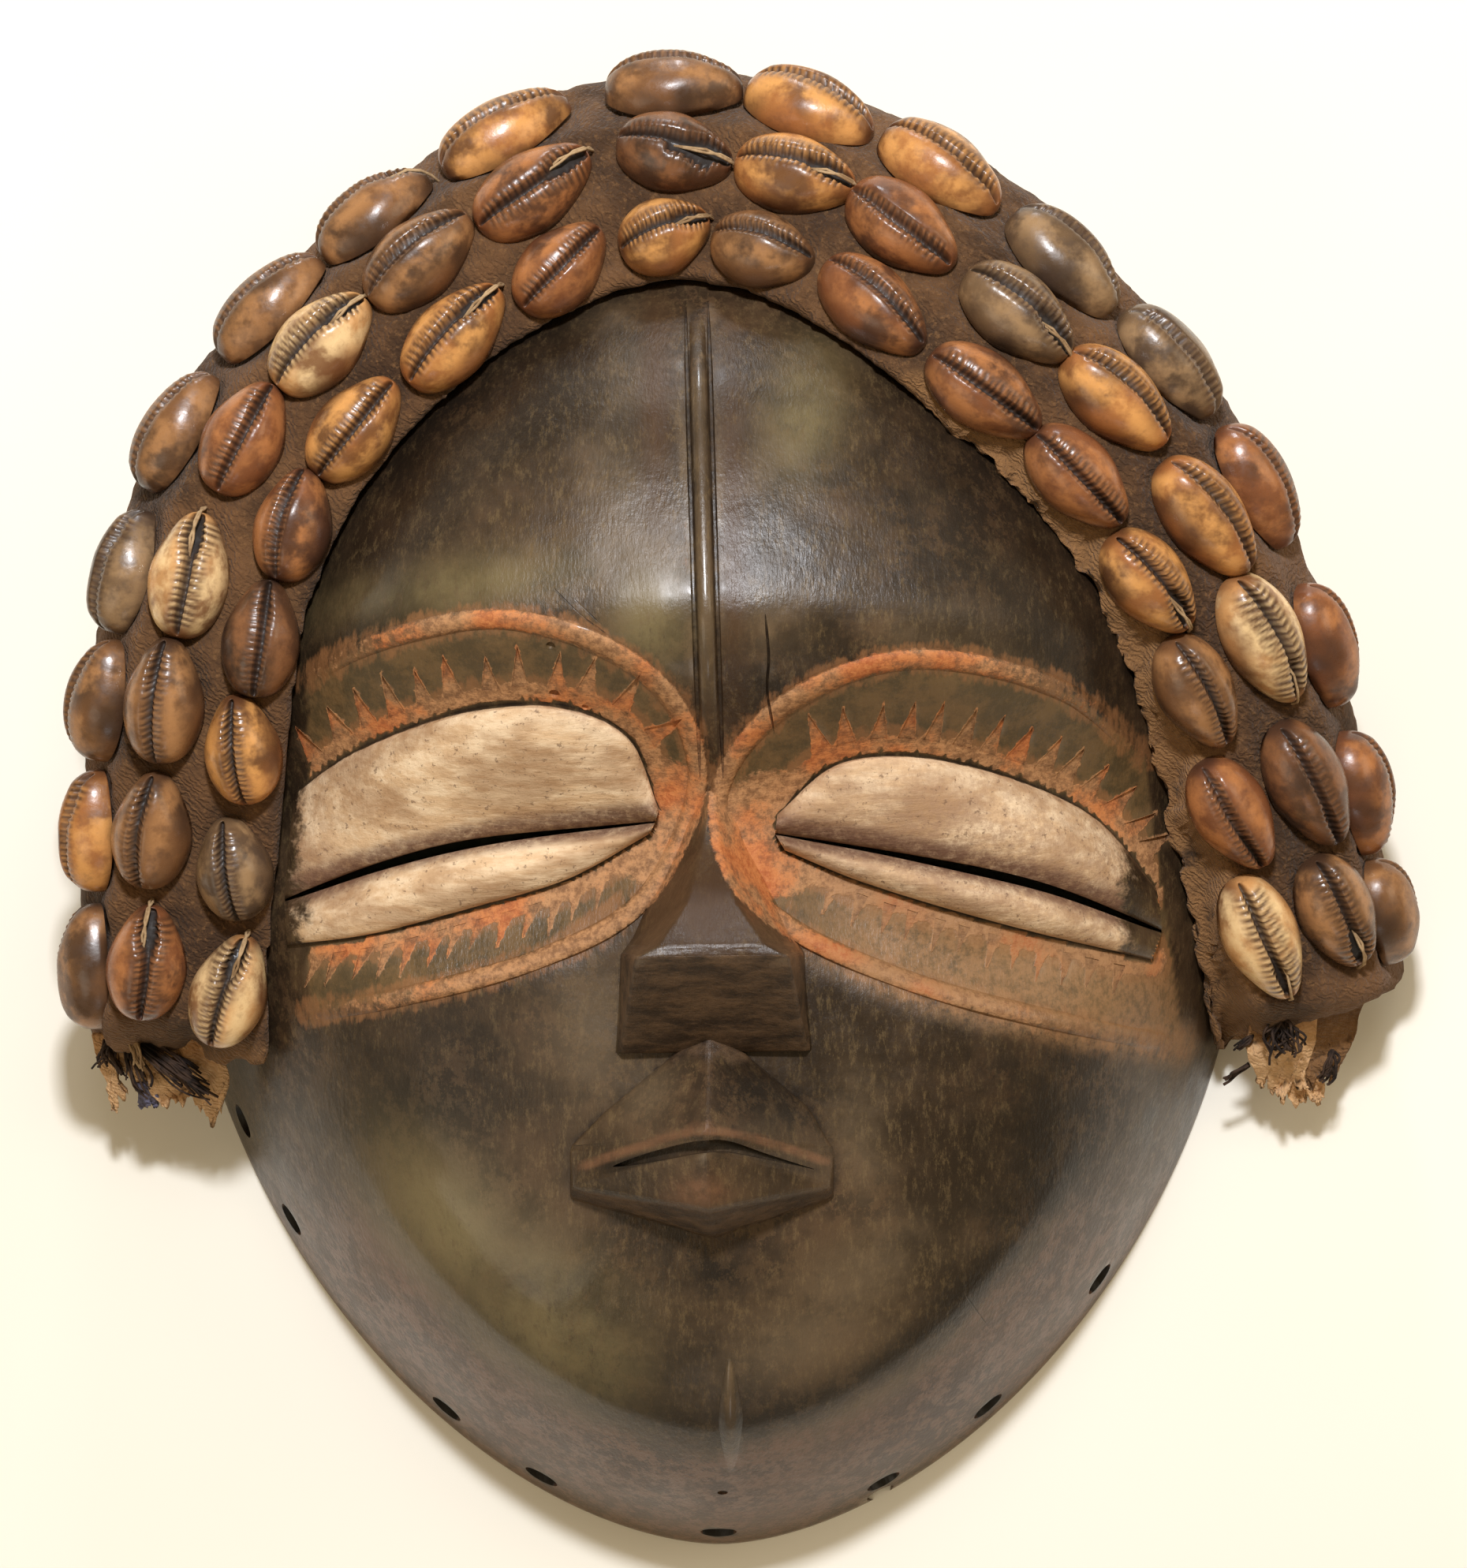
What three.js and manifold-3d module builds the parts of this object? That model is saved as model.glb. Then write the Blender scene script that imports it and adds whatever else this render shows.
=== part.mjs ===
// Dan deangle mask: a carved wooden face with narrow slit eyes, and a padded cloth headband sewn with three
// rows of cowries. The mask lies face up: the rim is flat on z = 0, the face looks along +Z and the forehead
// is towards +Y. Millimetres.
import * as THREE from "three";
import { mergeVertices } from "three/addons/utils/BufferGeometryUtils.js";
import Module from "manifold-3d";

const wasm = await Module();
wasm.setup();

// The rim seen from the front is two half superellipses that meet on the widest line.
const RIM = { centreY: -20, halfWidth: 92, top: 125, bottom: 112, topPower: 2, bottomPower: 1.75 };
// The face rises from the cheeks to the forehead over the brow.
const CHEEK_HEIGHT = 66;
const FOREHEAD_HEIGHT = 90;
const BROW_FOOT_Y = -8;
const BROW_TOP_Y = 30;
const WALL = 9;
const CREST_WALL = 10;
const SOCKET_DEPTH = 4;
// Rings and spokes of the carved surface and of the hollow behind it
const FACE_RINGS = 16;
const FACE_SPOKES = 50;
const HOLLOW_RINGS = 8;
const HOLLOW_SPOKES = 28;

// Each eye: the slit from its inner to its outer corner, the outlines of both lids in the same direction, and
// the raised bead around the socket, from the temple over the brow and back below the eye.
const LEFT_EYE = {
  socket: { x: -39, y: -3, halfLength: 40, halfHeight: 30, turn: 0.2 },
  slit: [[-9, -6], [-39, -9.2], [-54, -12.7], [-71, -18.4]],
  upperLid: [[-8.4, -4], [-13, 8], [-23, 13], [-38.5, 12.8], [-58, 6.6], [-69, 0]],
  lowerLid: [[-10, -8], [-23.5, -15.4], [-40, -20.2], [-56, -24.2], [-70.5, -26]],
  bead: [[-66, 18.2], [-55.5, 23], [-34, 26.8], [-17.5, 22.6], [-6, 13.6], [-2, 2], [-5.5, -10],
    [-13, -20.4], [-28, -28], [-51, -34.2], [-67, -37]],
  upperTeeth: 12,
  lowerTeeth: 12,
};
const RIGHT_EYE = {
  socket: { x: 43, y: -12, halfLength: 42, halfHeight: 28, turn: -0.26 },
  slit: [[10.4, -8.2], [33, -12.5], [55, -17.8], [75, -25.6]],
  upperLid: [[10.8, -5], [20, 3], [31, 4.6], [49, 0.8], [64, -6.5], [74, -18]],
  lowerLid: [[12, -11], [24.5, -16.4], [48.5, -24], [73, -30.3]],
  bead: [[72, 3.5], [58.5, 14], [36, 19.6], [21.5, 17.3], [8, 9.2], [1.4, -1.5], [3, -13.5],
    [12, -23], [33, -32.9], [66, -42], [79, -45]],
  upperTeeth: 14,
  lowerTeeth: 12,
};
const SLIT_WIDTH = 2;
const SLIT_OVERRUN = 1.2;
const UPPER_LID_BULGE = 6.5;
const LOWER_LID_BULGE = 4.6;
const BEAD_WIDTH = 2.4;
const BEAD_HEIGHT = 1;
const BEAD_STEPS = 22;
// A tooth is a triangular notch that stands on the lid's outline and points away from the slit.
const TOOTH_DEPTH = 0.8;
const UPPER_TOOTH = { start: 2.4, length: 6, width: 3.2 };
const LOWER_TOOTH = { start: 2, length: 5, width: 2 };

// Places along the nose, from the bridge down: its width at the foot and on top, and how far it stands out
const NOSE_STATIONS = [
  { y: -1, foot: 1.5, top: 0.4, height: 0.6 },
  { y: -10, foot: 6, top: 1.4, height: 7 },
  { y: -19, foot: 10.5, top: 4, height: 15 },
  { y: -25.5, foot: 13.5, top: 8.5, height: 20.5 },
  { y: -27.5, foot: 14.2, top: 11.5, height: 21 },
  { y: -43.5, foot: 15.4, top: 14.2, height: 2 },
];
// The mouth is a blunt pyramid: outline points and peaks, with their height above the cheeks
const MOUTH = {
  apex: [-0.9, -38.5, 1.5],
  leftSide: [-17.6, -52.7, 0.8],
  leftCorner: [-24, -63.4, 2.4],
  rightSide: [14.2, -51.8, 0.8],
  rightCorner: [18.6, -64, 2.4],
  upperPeak: [-1.5, -57, 16.5],
  lowerPeak: [-1.9, -68.2, 14],
  foot: [-0.4, -74.3, 0],
};
const MOUTH_SLOT = { left: [-16, -61.2], peak: [-1.6, -58.4], right: [11, -61.4], gape: 2.2, depth: 6 };
const FOREHEAD_RIDGE = { top: [-1.3, 80.5], foot: [0.2, 1], width: 2.8, height: 1.6 };
const CHIN_KEEL = { top: [0.9, -100], foot: [1.1, -119], width: 5, height: 2.4 };
// Eight holes for cords go through the wall just above the rim.
const RIM_HOLE_RADIUS = 2.5;
const RIM_HOLE_HEIGHT = 8;
const RIM_HOLES = [[-84, -58], [-75, -75], [-47, -107], [-30, -117.5], [-0.5, -132], [27.5, -119.5],
  [46, -107.5], [67, -87]];

// The headband's inner edge in space, from its left end over the forehead to its right end
const BAND_EDGE = [[-74, -43, 40], [-72, -13, 46.5], [-68, 15.7, 56.5], [-59, 45, 56.5], [-39.5, 66, 57.5],
  [-14.3, 81, 56.5], [-0.6, 82.6, 57], [19.8, 73.4, 64], [37, 59.5, 67.5], [54.8, 42.8, 64],
  [67.6, 21.8, 57], [76, -3, 46], [85.5, -43, 34]];
const BAND_STATIONS = 32;
const BAND_FOOT_HEIGHT = 4;
const BAND_FOOT_WIDTH = 3;
// Corners of the band's section over the rows, and as many again below
const BAND_CORNERS = 6;
const BAND_GAP = 1.3;
const RIGHT_MARGIN = 3;

// Rows of shells from the face outwards. The tilt is the slope of the cloth below the row, in degrees, at
// evenly spaced places from the left end to the right end. first and pitch place the shells along the row.
// shift and turn are what the sewing adds to each one, in millimetres and degrees. tones are their colours.
const ROWS = [
  {
    name: "inner", facet: 13.6, tilt: [0, 10, 12], first: 8.2, pitch: 20.2,
    width: 13,
    lengths: [19.5, 17.5, 18.5, 19.5, 19, 20, 21.5, 18.5, 15.5, 17.5, 21.5, 21.5, 21, 20.5, 21.5, 21.5, 23],
    shift: [0.5, 1.5, 2, 1, -0.5, -1.5, 0.5, 1.5, -2, -4.5, -3.5, -2, -1.5, 0, 0.5, 2.5, 5],
    turn: [-16, 13, 14, 4, 9, 3, 10, 20, 16, 6, -8, 4, 3, 10, 8, 16, 11],
    tones: "cgodrccodoborocrc",
  },
  {
    name: "middle", facet: 13.5, tilt: [4, 15, 25], first: 11.7, pitch: 22.3,
    width: 13.6,
    lengths: [19.5, 20, 21, 21, 20, 20.5, 21.5, 22, 19.5, 20.5, 21, 21.5, 22, 23.5, 24.5, 24, 21],
    shift: [1, 1.5, 1, 0, 2, -0.5, -1.5, -2, -1.5, -2, -3, -2, -3, -2, -0.5, 3.5, 5],
    turn: [-4, -2, 5, 4, 5, 1, 5, 10, -14, 8, -6, 0, 3, 7, 7, 12, 12],
    tones: "rbbcoobrgrrgoocdb",
  },
  {
    name: "outer", facet: 15.6, tilt: [76, 62, 60, 42, 66, 76], first: 5.8, pitch: 24.9,
    width: 14.4,
    lengths: [21.5, 21, 21, 21, 22, 23, 22, 24, 23, 23, 23, 23, 22.5, 23, 22.5, 22, 19],
    shift: [5, 4, 1.5, -1, -2.5, -2, -3.5, -3.5, -1.5, -2.5, -2, -1.5, -2.5, -2.5, 1.5, 4, 1.5],
    turn: [-4, -1, -8, -6, -6, -2, 0, 6, -3, -5, -5, -4, -1, 2, 2, 1, 5],
    tones: "bodbrbbobbodgrrrb",
  },
];
const SHELL_HEIGHT = 7;
// How far a shell lies above the cloth, and away from the fold on its inner side
const SHELL_GAP = 0.3;
const ROW_GAP = 0.5;
// A shell's sections along its length, from the narrow end: place and width as parts of its half size
const SHELL_SECTIONS = [[-0.8, 0.55, 0.78], [-0.3, 0.94, 1], [0.3, 1, 1], [0.8, 0.62, 0.8]];
// One section, as parts of the half width and of the height: flank, lip, the furrow of the mouth, lip, flank
const SHELL_PROFILE = [[-1, 0], [-0.86, 0.62], [-0.17, 1], [0, 0.62], [0.17, 1], [0.86, 0.62], [1, 0]];

// The torn cloth at each end of the band: a flat tuft with a ragged hem
const FRAYS = [
  { name: "frayed_end_left", from: [-107, -44.6], to: [-85.5, -45.4], drop: 14, z: 20, thickness: 9 },
  { name: "frayed_end_right", from: [91, -44.6], to: [112, -42.2], drop: 13, z: 12, thickness: 9 },
];
const FRAY_TEETH = 7;

const WOOD = new THREE.MeshStandardMaterial({ color: 0x33271e, roughness: 0.5, metalness: 0 });
const CLOTH = new THREE.MeshStandardMaterial({ color: 0x4a3528, roughness: 0.95, metalness: 0 });
const FRAYED_CLOTH = new THREE.MeshStandardMaterial({ color: 0x8a6646, roughness: 0.95, metalness: 0 });
const SHELL_COLOURS = { c: 0xc79a66, o: 0xa0602c, r: 0x7a4526, b: 0x6b4429, d: 0x4b2c1b, g: 0x5d4a38 };
const SHELLS = Object.fromEntries(
  Object.entries(SHELL_COLOURS).map(([tone, color]) => [
    tone,
    new THREE.MeshStandardMaterial({ color, roughness: 0.3, metalness: 0 }),
  ]),
);

// Edges shorter than this, which joins and cuts leave behind, are closed up.
const CUTTING_TOLERANCE = 0.01;

const { lerp, clamp, smoothstep, degToRad } = THREE.MathUtils;

// Outline and height of the carved surface

// How far out a place is: 0 on the face's centre line, 1 on an outline that lies inset inside the rim.
function outlineRatio(x, y, inset = 0) {
  const dy = y - RIM.centreY;
  const power = dy > 0 ? RIM.topPower : RIM.bottomPower;
  const reach = (dy > 0 ? RIM.top : RIM.bottom) - inset;
  const sum = Math.abs(x / (RIM.halfWidth - inset)) ** power + Math.abs(dy / reach) ** power;
  return sum ** (1 / power);
}

function outlinePoint(angle, ratio, inset = 0) {
  const x = Math.cos(angle);
  const dy = Math.sin(angle);
  const scale = ratio / outlineRatio(x, RIM.centreY + dy, inset);
  return [x * scale, RIM.centreY + dy * scale];
}

function domeHeight(x, y, inset, crestWall) {
  const ratio = Math.min(outlineRatio(x, y, inset), 1);
  const crest = lerp(CHEEK_HEIGHT, FOREHEAD_HEIGHT, smoothstep(y, BROW_FOOT_Y, BROW_TOP_Y)) - crestWall;
  return crest * (1 - 0.3 * ratio ** 2 - 0.7 * ratio ** 6);
}

function socketDepth(x, y) {
  return [LEFT_EYE.socket, RIGHT_EYE.socket].reduce((depth, socket) => {
    const dx = x - socket.x;
    const dy = y - socket.y;
    const along = (dx * Math.cos(socket.turn) + dy * Math.sin(socket.turn)) / socket.halfLength;
    const across = (dy * Math.cos(socket.turn) - dx * Math.sin(socket.turn)) / socket.halfHeight;
    return depth + SOCKET_DEPTH * (1 - smoothstep(Math.hypot(along, across), 0.55, 1.05));
  }, 0);
}

const faceHeight = (x, y) => Math.max(domeHeight(x, y, 0, 0) - socketDepth(x, y), 0);

// Geometry and solids

function geometryOf(vertices, triangles) {
  const geometry = new THREE.BufferGeometry();
  geometry.setAttribute("position", new THREE.Float32BufferAttribute(vertices.flat(), 3));
  geometry.setIndex(triangles.flat());
  return geometry;
}

function solidOf(geometry) {
  const bare = geometry.clone();
  bare.deleteAttribute("normal");
  bare.deleteAttribute("uv");
  const merged = mergeVertices(bare, 1e-4);
  return new wasm.Manifold(
    new wasm.Mesh({
      numProp: 3,
      tolerance: CUTTING_TOLERANCE,
      vertProperties: merged.attributes.position.array,
      triVerts: new Uint32Array(merged.index.array),
    }),
  );
}

function geometryOfSolid(solid) {
  const mesh = solid.getMesh();
  const geometry = new THREE.BufferGeometry();
  geometry.setAttribute("position", new THREE.BufferAttribute(mesh.vertProperties, 3));
  geometry.setIndex(new THREE.BufferAttribute(mesh.triVerts, 1));
  const faceted = geometry.toNonIndexed();
  faceted.computeVertexNormals();
  return faceted;
}

// The triangles of a grid of columns by rows, wound to face up where columns run right and rows run up.
function gridTriangles(columns, rows) {
  const triangles = [];
  for (let row = 0; row < rows - 1; row++)
    for (let column = 0; column < columns - 1; column++) {
      const a = row * columns + column;
      triangles.push([a, a + 1, a + columns + 1], [a, a + columns + 1, a + columns]);
    }
  return triangles;
}

// A closed slab on the face. Each of its points is x, y and the heights of its top and of its underside,
// measured from the carved surface.
function slabOnFace(points, triangles) {
  const top = points.map(([x, y, high]) => [x, y, faceHeight(x, y) + high]);
  const underside = points.map(([x, y, , low]) => [x, y, faceHeight(x, y) + low]);
  const [a, b, c] = triangles[0].map((i) => points[i]);
  const facesUp = (b[0] - a[0]) * (c[1] - a[1]) - (b[1] - a[1]) * (c[0] - a[0]) > 0;
  const up = facesUp ? triangles : triangles.map(([i, j, k]) => [i, k, j]);
  const edges = new Set(up.flatMap(([i, j, k]) => [`${i},${j}`, `${j},${k}`, `${k},${i}`]));
  const walls = [];
  for (const edge of edges) {
    const [i, j] = edge.split(",").map(Number);
    if (edges.has(`${j},${i}`)) continue;
    walls.push([i, j + points.length, j], [i, i + points.length, j + points.length]);
  }
  const down = up.map(([i, j, k]) => [i + points.length, k + points.length, j + points.length]);
  return solidOf(geometryOf([...top, ...underside], [...up, ...down, ...walls]));
}

const curveThrough = (points) =>
  new THREE.CatmullRomCurve3(
    points.map(([x, y, z = 0]) => new THREE.Vector3(x, y, z)),
    false,
    "centripetal",
  );

// The carved face

// A dome over the rim's outline: rings that close up towards the rim, and a flat bottom.
function dome({ rings, spokes, height, inset, bottom }) {
  const vertices = [[0, RIM.centreY, height(0, RIM.centreY)]];
  const triangles = [];
  for (let ring = 1; ring <= rings; ring++) {
    const ratio = 1 - (1 - ring / rings) ** 1.5;
    for (let spoke = 0; spoke < spokes; spoke++) {
      const [x, y] = outlinePoint((spoke / spokes) * 2 * Math.PI, ratio, inset);
      vertices.push([x, y, ring === rings ? 0 : height(x, y)]);
    }
  }
  const rim = vertices.slice(-spokes);
  vertices.push(...rim.map(([x, y]) => [x, y, bottom]), [0, RIM.centreY, bottom]);
  const at = (ring, spoke) => 1 + (ring - 1) * spokes + (spoke % spokes);
  const last = bottom < 0 ? rings + 1 : rings;
  for (let spoke = 0; spoke < spokes; spoke++) {
    triangles.push([0, at(1, spoke), at(1, spoke + 1)]);
    for (let ring = 1; ring < last; ring++)
      triangles.push(
        [at(ring, spoke), at(ring + 1, spoke), at(ring + 1, spoke + 1)],
        [at(ring, spoke), at(ring + 1, spoke + 1), at(ring, spoke + 1)],
      );
    triangles.push([vertices.length - 1, at(last, spoke + 1), at(last, spoke)]);
  }
  return solidOf(geometryOf(vertices, triangles));
}

// A lid is stretched between the slit and its own outline, and bulges between them.
function lid(slit, outline, bulge) {
  const columns = 11;
  const rows = 4;
  const inner = curveThrough(slit).getSpacedPoints(columns - 1);
  const outer = curveThrough(outline).getSpacedPoints(columns - 1);
  const points = [];
  for (let row = 0; row < rows; row++)
    for (let column = 0; column < columns; column++) {
      const { x, y } = inner[column].clone().lerp(outer[column], row / (rows - 1));
      const across = Math.sin((Math.PI * (row + 0.35)) / (rows - 0.3));
      const along = Math.sin((Math.PI * (column + 1)) / (columns + 1)) ** 0.5;
      points.push([x, y, 0.3 + bulge * across * along, -3]);
    }
  return slabOnFace(points, gridTriangles(columns, rows));
}

// A raised bar along a line: flat on top, with sloping sides.
function bar(line, width, height) {
  const points = [];
  line.forEach((point, i) => {
    const ahead = line[Math.min(i + 1, line.length - 1)].clone().sub(line[Math.max(i - 1, 0)]).normalize();
    for (const [across, high] of [[-0.5, -0.6], [-0.2, height], [0.2, height], [0.5, -0.6]])
      points.push([point.x - ahead.y * width * across, point.y + ahead.x * width * across, high, -2]);
  });
  return slabOnFace(points, gridTriangles(4, line.length));
}

// The notches of one row: triangles with their base towards the lid.
function teeth(outline, count, side, { start, length, width }) {
  const curve = curveThrough(outline);
  return Array.from({ length: count }, (_, i) => {
    const place = lerp(0.12, 0.95, (i + 0.5) / count);
    const point = curve.getPointAt(place);
    const ahead = curve.getTangentAt(place);
    const out = new THREE.Vector3(-ahead.y, ahead.x, 0).multiplyScalar(side);
    const base = point.clone().addScaledVector(out, start);
    const tip = point.clone().addScaledVector(out, start + length);
    const half = ahead.clone().multiplyScalar(width / 2);
    const corners = [base.clone().sub(half), base.clone().add(half), tip];
    return slabOnFace(corners.map(({ x, y }) => [x, y, 3, -TOOTH_DEPTH]), [[0, 1, 2]]);
  });
}

// The slit goes straight through the wall. It narrows towards both corners and runs a little past the lids.
function slitCut(slit) {
  const samples = 12;
  const curve = curveThrough(slit);
  const middle = Array.from({ length: samples + 1 }, (_, i) => curve.getPointAt(i / samples));
  middle[0].addScaledVector(curve.getTangentAt(0), -SLIT_OVERRUN);
  middle[samples].addScaledVector(curve.getTangentAt(1), SLIT_OVERRUN);
  const side = (sign) =>
    middle.map(({ x, y }, i) => {
      const gape = (SLIT_WIDTH / 2) * Math.max(Math.sin((Math.PI * i) / samples), 0.02) ** 0.4;
      return new THREE.Vector2(x, y + sign * gape);
    });
  const outline = new THREE.Shape([...side(-1), ...side(1).reverse()]);
  return solidOf(new THREE.ExtrudeGeometry(outline, { depth: 2 * FOREHEAD_HEIGHT, bevelEnabled: false }));
}

function nose() {
  const points = NOSE_STATIONS.flatMap(({ y, foot, top, height }) => [
    [-foot, y, -0.5, -3],
    [-top, y, height, -3],
    [top, y, height, -3],
    [foot, y, -0.5, -3],
  ]);
  return slabOnFace(points, gridTriangles(4, NOSE_STATIONS.length));
}

function mouth() {
  const names = Object.keys(MOUTH);
  const points = names.map((name) => [...MOUTH[name], -3]);
  const facets = [
    ["apex", "leftSide", "upperPeak"],
    ["leftSide", "leftCorner", "upperPeak"],
    ["rightSide", "apex", "upperPeak"],
    ["rightCorner", "rightSide", "upperPeak"],
    ["leftCorner", "lowerPeak", "upperPeak"],
    ["lowerPeak", "rightCorner", "upperPeak"],
    ["leftCorner", "foot", "lowerPeak"],
    ["foot", "rightCorner", "lowerPeak"],
  ];
  return slabOnFace(points, facets.map((facet) => facet.map((name) => names.indexOf(name))));
}

function mouthSlot() {
  const { left, peak, right, gape, depth } = MOUTH_SLOT;
  const floor = MOUTH.upperPeak[2] - depth;
  const points = [
    [...left, 30, 4],
    [peak[0], peak[1] - gape / 2, 30, floor],
    [...right, 30, 4],
    [peak[0], peak[1] + gape / 2, 30, floor],
  ];
  return slabOnFace(points, [[0, 1, 3], [1, 2, 3]]);
}

function rimHole([x, y]) {
  const step = 1;
  const outwards = new THREE.Vector3(
    outlineRatio(x + step, y) - outlineRatio(x - step, y),
    outlineRatio(x, y + step) - outlineRatio(x, y - step),
    0,
  ).normalize();
  const hole = new THREE.CylinderGeometry(RIM_HOLE_RADIUS, RIM_HOLE_RADIUS, 5 * WALL, 10);
  hole.applyQuaternion(new THREE.Quaternion().setFromUnitVectors(new THREE.Vector3(0, 1, 0), outwards));
  return solidOf(hole.translate(x, y, RIM_HOLE_HEIGHT));
}

function carvedMask() {
  const raised = [nose(), mouth()];
  const cut = [mouthSlot(), ...RIM_HOLES.map(rimHole)];
  for (const eye of [LEFT_EYE, RIGHT_EYE]) {
    const outwards = Math.sign(eye.socket.x);
    raised.push(lid(eye.slit, eye.upperLid, UPPER_LID_BULGE), lid(eye.slit, eye.lowerLid, LOWER_LID_BULGE));
    raised.push(bar(curveThrough(eye.bead).getSpacedPoints(BEAD_STEPS), BEAD_WIDTH, BEAD_HEIGHT));
    cut.push(...teeth(eye.upperLid, eye.upperTeeth, outwards, UPPER_TOOTH));
    cut.push(...teeth(eye.lowerLid, eye.lowerTeeth, -outwards, LOWER_TOOTH));
    cut.push(slitCut(eye.slit));
  }
  for (const { top, foot, width, height } of [FOREHEAD_RIDGE, CHIN_KEEL])
    raised.push(bar(curveThrough([top, foot]).getSpacedPoints(8), width, height));
  cut.push(
    dome({
      rings: HOLLOW_RINGS,
      spokes: HOLLOW_SPOKES,
      height: (x, y) => domeHeight(x, y, WALL, CREST_WALL),
      inset: WALL,
      bottom: -5,
    }),
  );
  const outside = dome({
    rings: FACE_RINGS,
    spokes: FACE_SPOKES,
    height: faceHeight,
    inset: 0,
    bottom: 0,
  });
  const carved = raised.reduce((solid, piece) => solid.add(piece), outside);
  return cut.reduce((solid, piece) => solid.subtract(piece), carved);
}

// The headband

const bandEdge = curveThrough(BAND_EDGE);

// A place on the inner edge, and the level direction that leads outwards from it
function edgeAt(along) {
  const { x, y, z } = bandEdge.getPointAt(along);
  const ahead = bandEdge.getTangentAt(along);
  const level = Math.hypot(ahead.x, ahead.y);
  return { x, y, z, outX: -ahead.y / level, outY: ahead.x / level };
}

// A value that is given at evenly spaced places from the band's left end to its right end
function alongBand(values, along) {
  const place = along * (values.length - 1);
  const before = Math.min(Math.floor(place), values.length - 2);
  return lerp(values[before], values[before + 1], place - before);
}

// The band's upper side at one place along it, as distances outwards from the inner edge and heights: the
// inner edge, then the outer side of each row's strip.
function bandTop(along) {
  const creases = [[0, edgeAt(along).z]];
  const margin = alongBand([0, 0, RIGHT_MARGIN], along);
  ROWS.forEach(({ facet, tilt }, i) => {
    const [out, height] = creases[i];
    const slope = degToRad(alongBand(tilt, along));
    const width = facet + (i === 0 ? margin : 0);
    creases.push([out + width * Math.cos(slope), height - width * Math.sin(slope)]);
  });
  return creases;
}

// The band's underside from its inner edge down the outside of the wood to its foot just outside the rim
function bandUnder(along) {
  const { x, y, outX, outY } = edgeAt(along);
  const step = 0.25;
  let rim = 0;
  while (outlineRatio(x + outX * rim, y + outY * rim) < 0.998) rim += step;
  const points = [];
  for (let i = 0; i < BAND_CORNERS - 1; i++) {
    const out = rim * (1 - (1 - i / (BAND_CORNERS - 1)) ** 2);
    const height = faceHeight(x + outX * out, y + outY * out);
    const inwards = faceHeight(x + outX * (out - step), y + outY * (out - step));
    points.push([out, height + BAND_GAP * Math.hypot(1, (inwards - height) / step)]);
  }
  return [...points, [rim + BAND_GAP, BAND_FOOT_HEIGHT]];
}

// The band's section at one place: over the rows and down its outer side, then back under along the wood.
function bandSection(along) {
  const { x, y, outX, outY } = edgeAt(along);
  const over = bandTop(along);
  const under = bandUnder(along);
  const [outermost, lowest] = over[over.length - 1];
  const foot = Math.max(under[under.length - 1][0] + BAND_FOOT_WIDTH, outermost - 2);
  const side = [Math.max(outermost, foot) + 1.5, lerp(BAND_FOOT_HEIGHT, lowest, 0.55)];
  over.push(side, [foot, BAND_FOOT_HEIGHT]);
  return [...over, ...under.reverse()].map(([out, height]) => [x + outX * out, y + outY * out, height]);
}

function headband() {
  const corners = 2 * BAND_CORNERS;
  const vertices = [];
  const triangles = [];
  for (let station = 0; station < BAND_STATIONS; station++)
    vertices.push(...bandSection(station / (BAND_STATIONS - 1)));
  for (let station = 0; station < BAND_STATIONS - 1; station++)
    for (let corner = 0; corner < corners; corner++) {
      const a = station * corners + corner;
      const b = station * corners + ((corner + 1) % corners);
      triangles.push([a, a + corners, b + corners], [a, b + corners, b]);
    }
  const end = vertices.length - corners;
  for (let i = 0; i < BAND_CORNERS - 1; i++) {
    const [a, b, c, d] = [i, i + 1, corners - 2 - i, corners - 1 - i];
    triangles.push([a, b, c], [a, c, d]);
    triangles.push([end + a, end + c, end + b], [end + a, end + d, end + c]);
  }
  return solidOf(geometryOf(vertices, triangles));
}

// The shells

function shellGeometry(length, width) {
  const vertices = SHELL_SECTIONS.flatMap(([place, broad, tall]) =>
    SHELL_PROFILE.map(([across, up]) => [
      (place * length) / 2,
      (across * broad * width) / 2,
      up * tall * SHELL_HEIGHT,
    ]),
  );
  const corners = SHELL_PROFILE.length;
  const sections = SHELL_SECTIONS.length;
  const narrowEnd = vertices.length;
  const broadEnd = narrowEnd + 1;
  vertices.push([-length / 2, 0, SHELL_HEIGHT * 0.22], [length / 2, 0, SHELL_HEIGHT * 0.22]);
  const triangles = [];
  for (let corner = 0; corner < corners; corner++) {
    const next = (corner + 1) % corners;
    triangles.push([narrowEnd, corner, next]);
    for (let section = 0; section < sections - 1; section++) {
      const a = section * corners + corner;
      const b = section * corners + next;
      triangles.push([a, b + corners, b], [a, a + corners, b + corners]);
    }
    triangles.push([broadEnd, (sections - 1) * corners + next, (sections - 1) * corners + corner]);
  }
  return geometryOf(vertices, triangles);
}

// Where a row's shells lie: the middle line of its strip of cloth, measured along its length.
function rowLine(row, index) {
  const samples = 240;
  const line = [];
  let distance = 0;
  for (let i = 0; i <= samples; i++) {
    const along = i / samples;
    const { x, y, outX, outY } = edgeAt(along);
    const [innerOut, innerHeight] = bandTop(along)[index];
    const slope = degToRad(alongBand(row.tilt, along));
    const down = row.width / 2 + ROW_GAP + (index === 0 ? alongBand([0, 0, RIGHT_MARGIN], along) : 0);
    const out = innerOut + down * Math.cos(slope);
    const centre = new THREE.Vector3(x + outX * out, y + outY * out, innerHeight - down * Math.sin(slope));
    if (i) distance += centre.distanceTo(line[i - 1].centre);
    const downhill = new THREE.Vector3(outX * Math.cos(slope), outY * Math.cos(slope), -Math.sin(slope));
    line.push({ centre, downhill, distance });
  }
  return line;
}

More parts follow.
